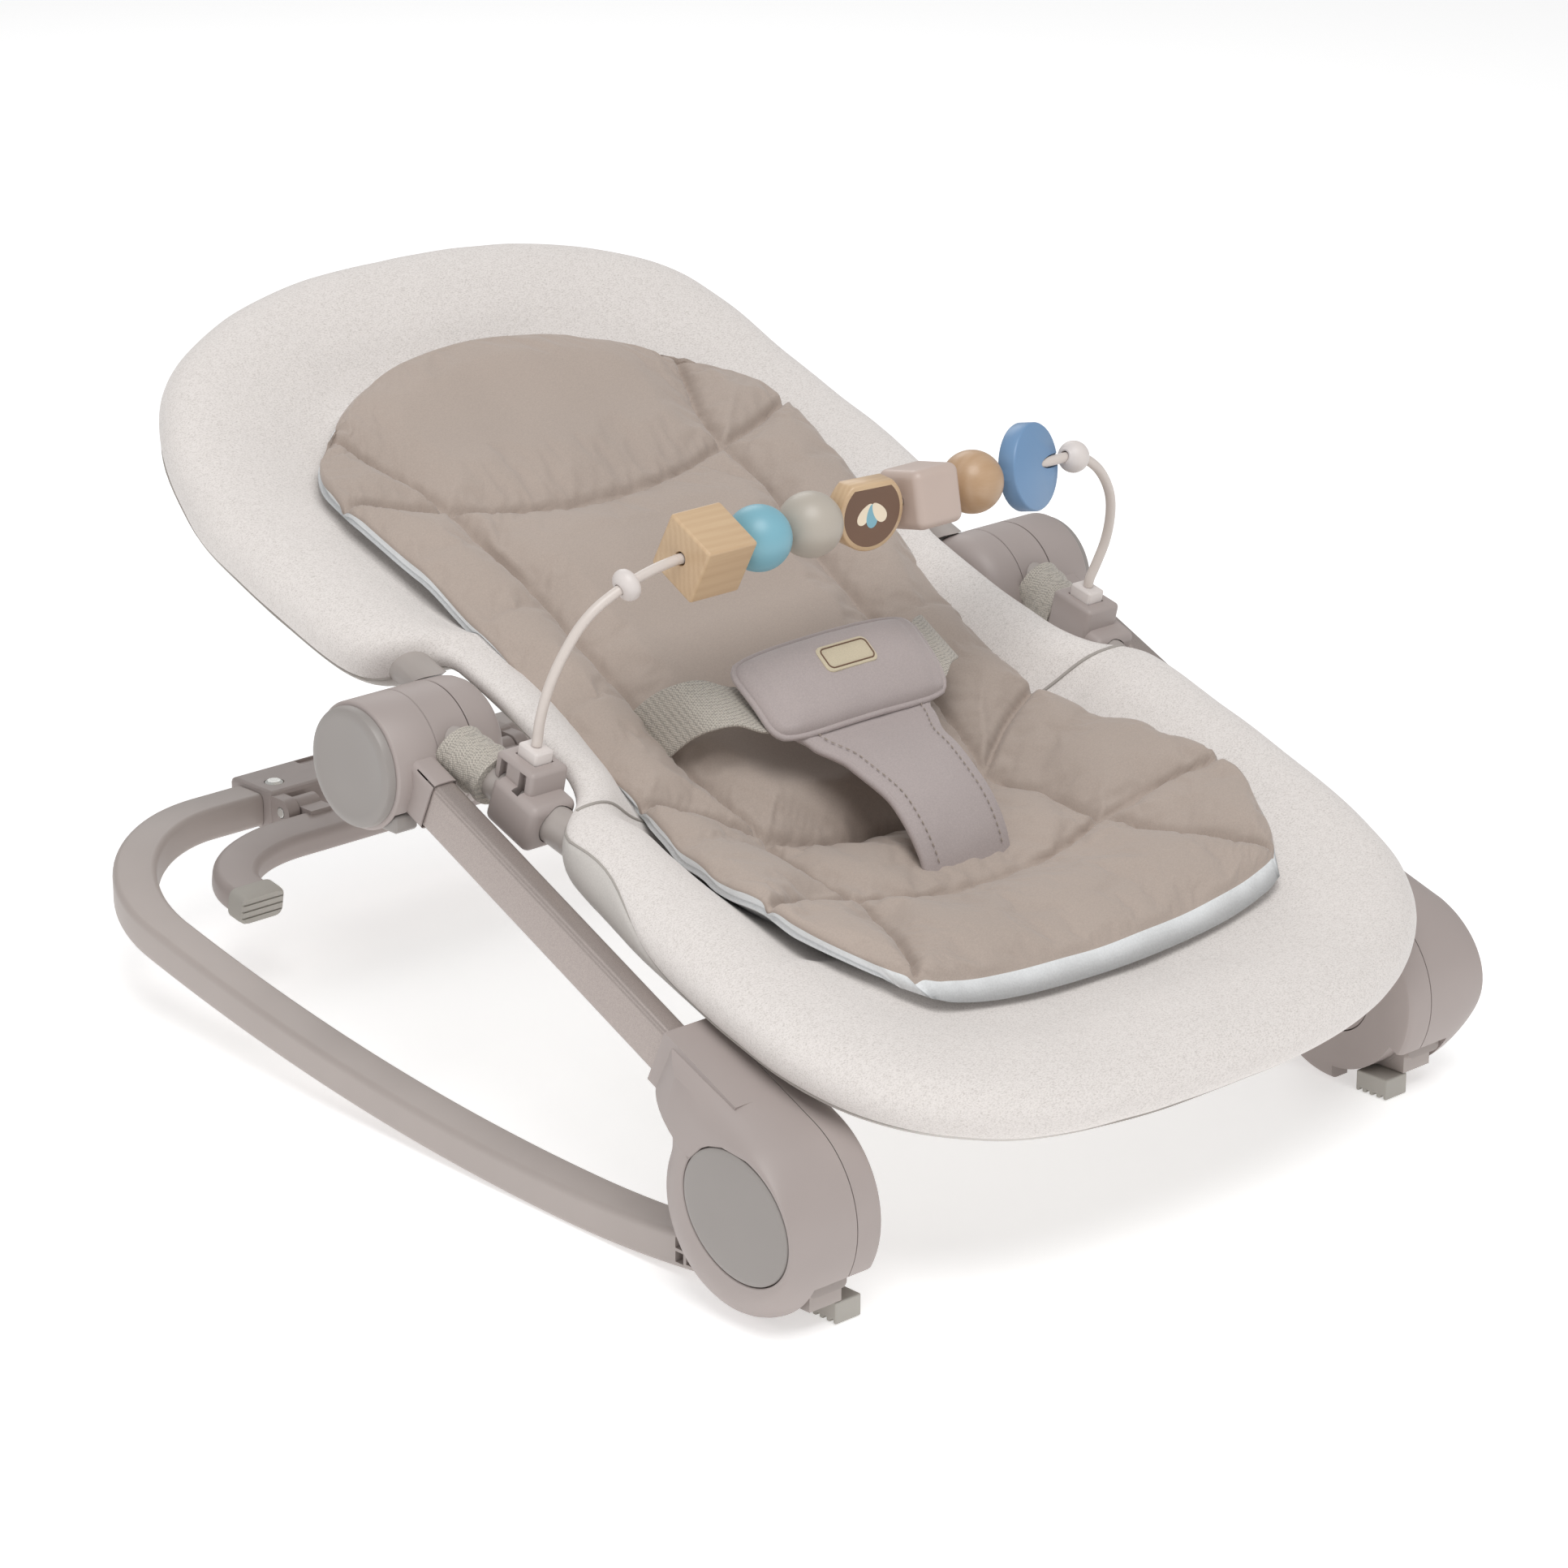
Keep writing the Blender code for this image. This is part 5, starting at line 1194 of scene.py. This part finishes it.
    for sx, tag in ((-1, "l"), (1, "r")):
        start = line_point(-0.0480, insert_base(0.085, -0.0480) + 0.0005, sx * 0.0850)
        end = Vector((sx * 0.0560, 0.1600, 0.1920))
        mid = start.lerp(end, 0.5) + Vector((sx * 0.0050, -0.0060, 0.0110))
        path = curve3([start, start.lerp(mid, 0.5) + Vector((0, -0.001, 0.003)), mid,
                       mid.lerp(end, 0.5) + Vector((0, 0, 0.0025)), end, end - Vector((sx * 0.012, 0, 0.003))], 6)
        band = ribbon("lap_webbing_vis_" + tag, path, [0.0148] * len(path), 0.0018, WEB,
                      Vector((0, 0.86, 0.50)).normalized(), n_side=8, edge=0.0007)
        place(band, "chassis", "lap_webbing_" + tag)


def threads(path, offsets, height, name):
    """Stitches along a strap, at an offset across it."""
    verts, faces = [], []
    pts = []
    for i, p in enumerate(path):
        t = (path[min(i + 1, len(path) - 1)] - path[max(i - 1, 0)]).normalized()
        nrm = Vector((1, 0, 0)).cross(t).normalized()
        pts.append(p + Vector((offsets[i], 0, 0)) + nrm * height)
    P = np.array([tuple(p) for p in pts])
    d = np.concatenate([[0], np.cumsum(np.linalg.norm(np.diff(P, axis=0), axis=1))])
    for q in np.arange(0.001, d[-1] - 0.003, 0.0036):
        e = [Vector([np.interp(t, d, P[:, k]) for k in range(3)]) for t in np.linspace(q, q + 0.0024, 4)]
        sec = [circle(0.0003 * k, 6) for k in (0.3, 1.0, 1.0, 0.3)]
        v, f = skin(sweep_rings(e, sec, Vector((1, 0, 0))))
        base = len(verts)
        verts += v
        faces += [tuple(base + i for i in face) for face in f]
    place(make(name, verts, faces, THREAD, 180), "chassis")


# ---------------------------------------------------------------- toy bar
BAR_LEAN = Vector((0.0, -0.2334, 0.9724))
LEAN_T = Vector((0, 0.9724, 0.2334))
ARCH_X, ARCH_TOP_Z, ARCH_R, ROD_R = 0.1700, 0.2740, 0.0380, 0.00235


def rod_point(x, z):
    return Vector((x, 0.1700 + (z - 0.1870) * BAR_LEAN.y / BAR_LEAN.z, z))


TOP_Y = rod_point(0, ARCH_TOP_Z).y


def lathe_bead(name, x, mat, profile, bore, n=72, angle=35):
    rings = []
    for dx, r in [(profile[0][0], bore)] + profile + [(profile[-1][0], bore)]:
        rings.append([Vector((x + dx, TOP_Y + r * math.cos(2 * math.pi * i / n),
                              ARCH_TOP_Z + r * math.sin(2 * math.pi * i / n))) for i in range(n)])
    ob = make(name, *skin(rings, closed=True), mat, angle)
    for v in ob.data.vertices:
        v.co -= Vector((x, TOP_Y, ARCH_TOP_Z))
    ob.location = (x, TOP_Y, ARCH_TOP_Z)
    return ob


def ball(r, flat=0.0036, n=32):
    a0 = math.asin(flat / r)
    return [(-r * math.cos(a0 + (math.pi - 2 * a0) * k / n), r * math.sin(a0 + (math.pi - 2 * a0) * k / n))
            for k in range(n + 1)]


def cube_bead(name, x, size, turn, bevel, mat):
    t = Vector((0, math.cos(turn), math.sin(turn))) * size / 2
    n = Vector((0, -math.sin(turn), math.cos(turn))) * size / 2
    rings = [[Vector((dx, 0, 0)) + a for a in (-t - n, t - n, t + n, n - t)] for dx in (-size / 2, size / 2)]
    ob = make(name, *skin(rings), mat)
    mod = ob.modifiers.new("edges", "BEVEL")
    mod.width, mod.segments, mod.limit_method = bevel, 8, "ANGLE"
    apply_all(ob)
    bore = lathe_x("bore", [(-0.03, 0.0031), (0.03, 0.0031)], 0, 0, mat, 40)
    cut(ob, bore)
    ob.location = (x, TOP_Y, ARCH_TOP_Z)
    soften(ob, 0.0004, 2, 40)
    return ob


def block(name, centre, half_x, half_t, lo_n, hi_n, mat, bevel, t, n):
    rings = [[centre + Vector((sx * half_x, 0, 0)) + t * a + n * b
              for a, b in ((-half_t, lo_n), (half_t, lo_n), (half_t, hi_n), (-half_t, hi_n))] for sx in (-1, 1)]
    ob = make(name, *skin(rings), mat)
    if bevel:
        mod = ob.modifiers.new("edges", "BEVEL")
        mod.width, mod.segments, mod.limit_method = bevel, 5, "ANGLE"
        apply_all(ob)
    return ob


def clip_pieces(foot):
    """Buckles on the seat tube: a saddle, an upright plate with side rails, and the plug's socket."""
    a = slope_at(-0.0745)
    t, n = Vector((0, math.cos(a), math.sin(a))), Vector((0, -math.sin(a), math.cos(a)))
    clip = block("clip", line_point(-0.0745, 0.0, -0.1735), 0.0125, 0.0150, -0.0125, 0.0105, SHELL, 0.0040, t, n)
    join(clip, block("plate", foot + Vector((-0.0008, 0, 0)), 0.0104, 0.0125, -0.0120, 0.0118, SHELL, 0.0022,
                     LEAN_T, BAR_LEAN))
    cut(clip, loft_tube("bore", [p for p in SEAT_PTS if p[0] < 0 and -0.14 < p[1] < -0.02], 0.0094, SHELL, 32),
        block("hole", foot, 0.0053, 0.0068, 0.0035, 0.030, SHELL, 0.0, LEAN_T, BAR_LEAN))
    face = foot + Vector((-0.0112, 0, 0))
    for off in (-0.0064, 0.0064):
        cut(clip, block("slot", face + LEAN_T * off, 0.0034, 0.0022, -0.0095, 0.0096, SHELL, 0.0, LEAN_T, BAR_LEAN))
    pair(soften(clip, 0.0006), "toy_clip", "chassis")


def toy_bar():
    foot = Vector((-ARCH_X, 0.1700, 0.1870)) - BAR_LEAN * 0.0040
    foot_z = 0.1870 + BAR_LEAN.z * 0.0138
    near = [(0.1702, 0.2115), (0.1690, 0.2228), (0.1660, 0.2338), (0.1612, 0.2443), (0.1550, 0.2538),
            (0.1460, 0.2615), (0.1320, 0.2680), (0.1195, 0.2717), (0.1060, 0.2738), (0.0950, 0.2740)]
    far = [(0.1725, 0.2120), (0.1752, 0.2225), (0.1752, 0.2340), (0.1725, 0.2450), (0.1670, 0.2545),
           (0.1590, 0.2632), (0.1490, 0.2700), (0.1400, 0.2731), (0.1310, 0.2740)]
    start = [(ARCH_X, foot_z), (ARCH_X, foot_z + 0.0040)]
    path = ([rod_point(-x, z) for x, z in start + near] + [rod_point(0, ARCH_TOP_Z)]
            + [rod_point(x, z) for x, z in (start + far)[::-1]])
    fine = curve3(path, 8)
    place(make("toy_rod_vis", *skin(sweep_rings(fine, circle(ROD_R, 20), LEAN_T)), RODM, 60), "toy_bar", "toy_rod")
    for t in "lr":
        dress("toy_plug_" + t, BEADP, 0.0008)
    clip_pieces(foot)
    small = [(-0.0042, 0.0030), (-0.0040, 0.0042), (-0.0034, 0.0056), (-0.0024, 0.0067), (-0.0010, 0.0073),
             (0.0, 0.0074), (0.0010, 0.0073), (0.0024, 0.0067), (0.0034, 0.0056), (0.0040, 0.0042), (0.0042, 0.0030)]
    knob = [(-0.0066, 0.0034)] + [(-0.0072 * math.cos(a), 0.0075 * math.sin(a))
                                 for a in np.radians(np.linspace(32, 148, 20))] + [(0.0066, 0.0034)]
    for tag, x, z, pitch, prof in (("l", -0.1320, 0.2680, 20.5, small), ("r", 0.1400, 0.2731, -13.5, knob)):
        a, c, n = math.radians(pitch), rod_point(x, z), 48
        along = Vector((math.cos(a), BAR_LEAN.y * math.sin(a), BAR_LEAN.z * math.sin(a)))
        across = along.cross(LEAN_T)
        rings = [[c + along * dx + LEAN_T * (r * math.cos(2 * math.pi * i / n))
                  + across * (r * math.sin(2 * math.pi * i / n)) for i in range(n)]
                 for dx, r in [(prof[0][0], 0.0026)] + prof + [(prof[-1][0], 0.0026)]]
        place(make("end_bead_vis_" + tag, *skin(rings, closed=True), BEADP), "toy_bar", "end_bead_" + tag)

    bore = ROD_R + 0.0007
    place(cube_bead("wood_cube_vis", -0.0885, 0.0285, math.radians(28), 0.0016, WOOD), "bead_wood_cube_body",
          "bead_wood_cube")
    place(lathe_bead("blue_ball_vis", -0.0570, BLUE, ball(0.0149), bore), "bead_blue_ball_body", "bead_blue_ball")
    place(lathe_bead("sage_ball_vis", -0.0264, SAGE, ball(0.0149), bore), "bead_sage_ball_body", "bead_sage_ball")
    place(cube_bead("pink_cube_vis", 0.0413, 0.0272, math.radians(-10), 0.0042, PINK), "bead_pink_cube_body",
          "bead_pink_cube")
    place(lathe_bead("wood_ball_vis", 0.0738, BALLW, ball(0.0146), bore), "bead_wood_ball_body", "bead_wood_ball")
    full = circle(0.0204, 120)
    flat = [(0.0178 * math.cos(math.radians(a)), 0.0178 * math.sin(math.radians(a))) for a in np.linspace(-52, 232, 90)]
    disc_bead("blue_disc", 0.1100, 16, 10, full, 0.0046, SKY)
    on_face, spot = disc_bead("face_disc", 0.0068, -6, -3, flat, 0.0054, WOOD)

    def inlay(name, outline, mat, d):
        rings = [[on_face(u, v, e) for u, v in outline] for e in (0.0050, d)]
        ob = make(name, *skin(rings), mat)
        ob.location = spot
        place(ob, "bead_face_disc_body")

    inlay("disc_print", [(0.0155 * math.cos(a), 0.0155 * math.sin(a)) for a in np.radians(np.linspace(-49, 229, 70))],
          INK, 0.00546)
    for k in range(3):
        turn = math.radians((-38, 0, 38)[k])
        leaf = []
        for q in np.linspace(0, 2 * math.pi, 40, endpoint=False):
            u = 0.0030 * math.sin(q) * (1 - 0.25 * math.cos(q))
            v = 0.0062 + 0.0056 * -math.cos(q)
            leaf.append((u * math.cos(turn) + v * math.sin(turn), v * math.cos(turn) - u * math.sin(turn) - 0.0050))
        inlay(f"disc_leaf_{k}", leaf, CREAM if k != 1 else BLUE, 0.00552 + 0.00003 * k)


def disc_bead(name, x, yaw, pitch, outline, half, mat):
    """Flat bead drilled through its edge; the face looks towards the foot end."""
    q, p = math.radians(yaw), math.radians(pitch)
    n = Vector((math.sin(q), -math.cos(q) * math.cos(p), math.cos(q) * math.sin(p)))
    side = Vector((math.cos(q), math.sin(q) * math.cos(p), -math.sin(q) * math.sin(p)))
    top = n.cross(side) * -1

    def on_face(u, v, d):
        return side * u + top * v + n * d

    rings = [[on_face(u * k, v * k, d) for u, v in outline]
             for d, k in ((-half, 0.955), (0.0003 - half, 0.98), (0.0010 - half, 1.0), (half - 0.0010, 1.0),
                          (half - 0.0003, 0.98), (half, 0.955))]
    ob = make(name + "_vis", *skin(rings), mat, 40)
    cut(ob, lathe_x("bore", [(-0.03, 0.0031), (0.03, 0.0031)], 0, 0, mat, 40))
    ob.data.shade_smooth()
    ob.data.set_sharp_from_angle(angle=math.radians(40))
    ob.location = (x, TOP_Y, ARCH_TOP_Z)
    spot = tuple(ob.location)
    place(ob, "bead_" + name + "_body", "bead_" + name)
    return on_face, spot


def strap_loops():
    """Webbing wrapped round the seat tube beside each clip."""
    for sx, tag in ((-1, "l"), (1, "r")):
        pts = [(sx * mix([(-0.052, 0.1755), (-0.030, 0.1790), (-0.018, 0.1797)], s), s)
               for s in np.linspace(-0.0535, -0.0290, 12)]
        path = [line_point(s, 0.0, x) for x, s in pts]
        rings = []
        for i, p in enumerate(path):
            grow = 0.0126 + 0.0005 * math.sin(i * 1.9)
            rings.append([p + Vector((a, 0, 0)) + Vector((0, -math.sin(BETA), math.cos(BETA))) * b
                          for a, b in circle(grow, 36)])
        place(make("tube_webbing_" + tag, *skin(rings), WEB, 40), "chassis")


# ---------------------------------------------------------------- assembly
base_pieces()
stand_pieces()
hub_pieces()
frame_tubes()
fabric, piping = cover()
gusset = seam_on(fabric, "cover_gusset_seam", [[(k * 0.1685, -0.0965), (k * 0.150, -0.0945), (k * 0.118, -0.0900)]
                                               for k in (-1, 1)], 0.0008, SEAMM)
quilt = insert()
fabric.location = piping.location = gusset.location = SHIFT
quilt.location = SHIFT
sewing = stitches("insert_stitches", seam_paths(0.0012), lambda x, s: insert_base(x, s) - 0.0032)
sewing.location = SHIFT
HINGE_A = line_point(-0.030, 0, 0) + SHIFT
HINGE_B = line_point(0.045, 0, 0) + SHIFT
for soft in (fabric, piping, gusset, quilt, sewing):
    bpy.context.view_layer.update()
    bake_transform(soft)
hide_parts("seat_cover", "back_cover")
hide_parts("insert_seat_pad", "insert_back_pad")
harness()
toy_bar()
strap_loops()

# ---------------------------------------------------------------- stage
pale = plastic("floor", (0.95, 0.95, 0.95), 0.75, 0.0)
glow = pale.node_tree.nodes["Principled BSDF"].inputs
glow["Emission Color"].default_value, glow["Emission Strength"].default_value = (1, 1, 1, 1), 0.44
floor = make("floor", [Vector((-6, -6, -0.0004)), Vector((6, -6, -0.0004)), Vector((6, 6, -0.0004)),
                       Vector((-6, 6, -0.0004))], [(0, 1, 2, 3)], pale)
world = bpy.data.worlds.new("studio")
bpy.context.scene.world = world
world.use_nodes = True
world.node_tree.nodes["Background"].inputs[0].default_value = (1.0, 1.0, 1.0, 1)
world.node_tree.nodes["Background"].inputs[1].default_value = 0.45


def area(name, spot, aim, size, watts):
    data = bpy.data.lights.new(name, "AREA")
    data.shape, data.size, data.energy = "DISK", size, watts
    ob = bpy.data.objects.new(name, data)
    ob.location = spot
    ob.rotation_euler = (Vector(aim) - Vector(spot)).to_track_quat("-Z", "Y").to_euler()
    bpy.context.scene.collection.objects.link(ob)


area("key", (-0.6, -1.0, 2.1), (0, 0, 0.1), 1.5, 30)
area("side", (-2.0, 0.5, 1.1), (0, 0, 0.15), 1.2, 3)
area("rear", (1.0, 1.8, 1.6), (0, 0, 0.15), 1.4, 9)

cam_data = bpy.data.cameras.new("camera")
cam_data.lens, cam_data.sensor_width = 112.88, 36.0
cam_data.shift_x, cam_data.shift_y = 0.00312, -0.00473
cam_data.clip_end = 40
camera = bpy.data.objects.new("camera", cam_data)
camera.location = Vector((-1.442, -1.370, 0.8916)) + SHIFT
camera.rotation_euler = (math.radians(90 - 19.4995), 0, math.radians(-42.6046))
bpy.context.scene.collection.objects.link(camera)
bpy.context.scene.camera = camera
bpy.context.scene.view_settings.view_transform = "Standard"
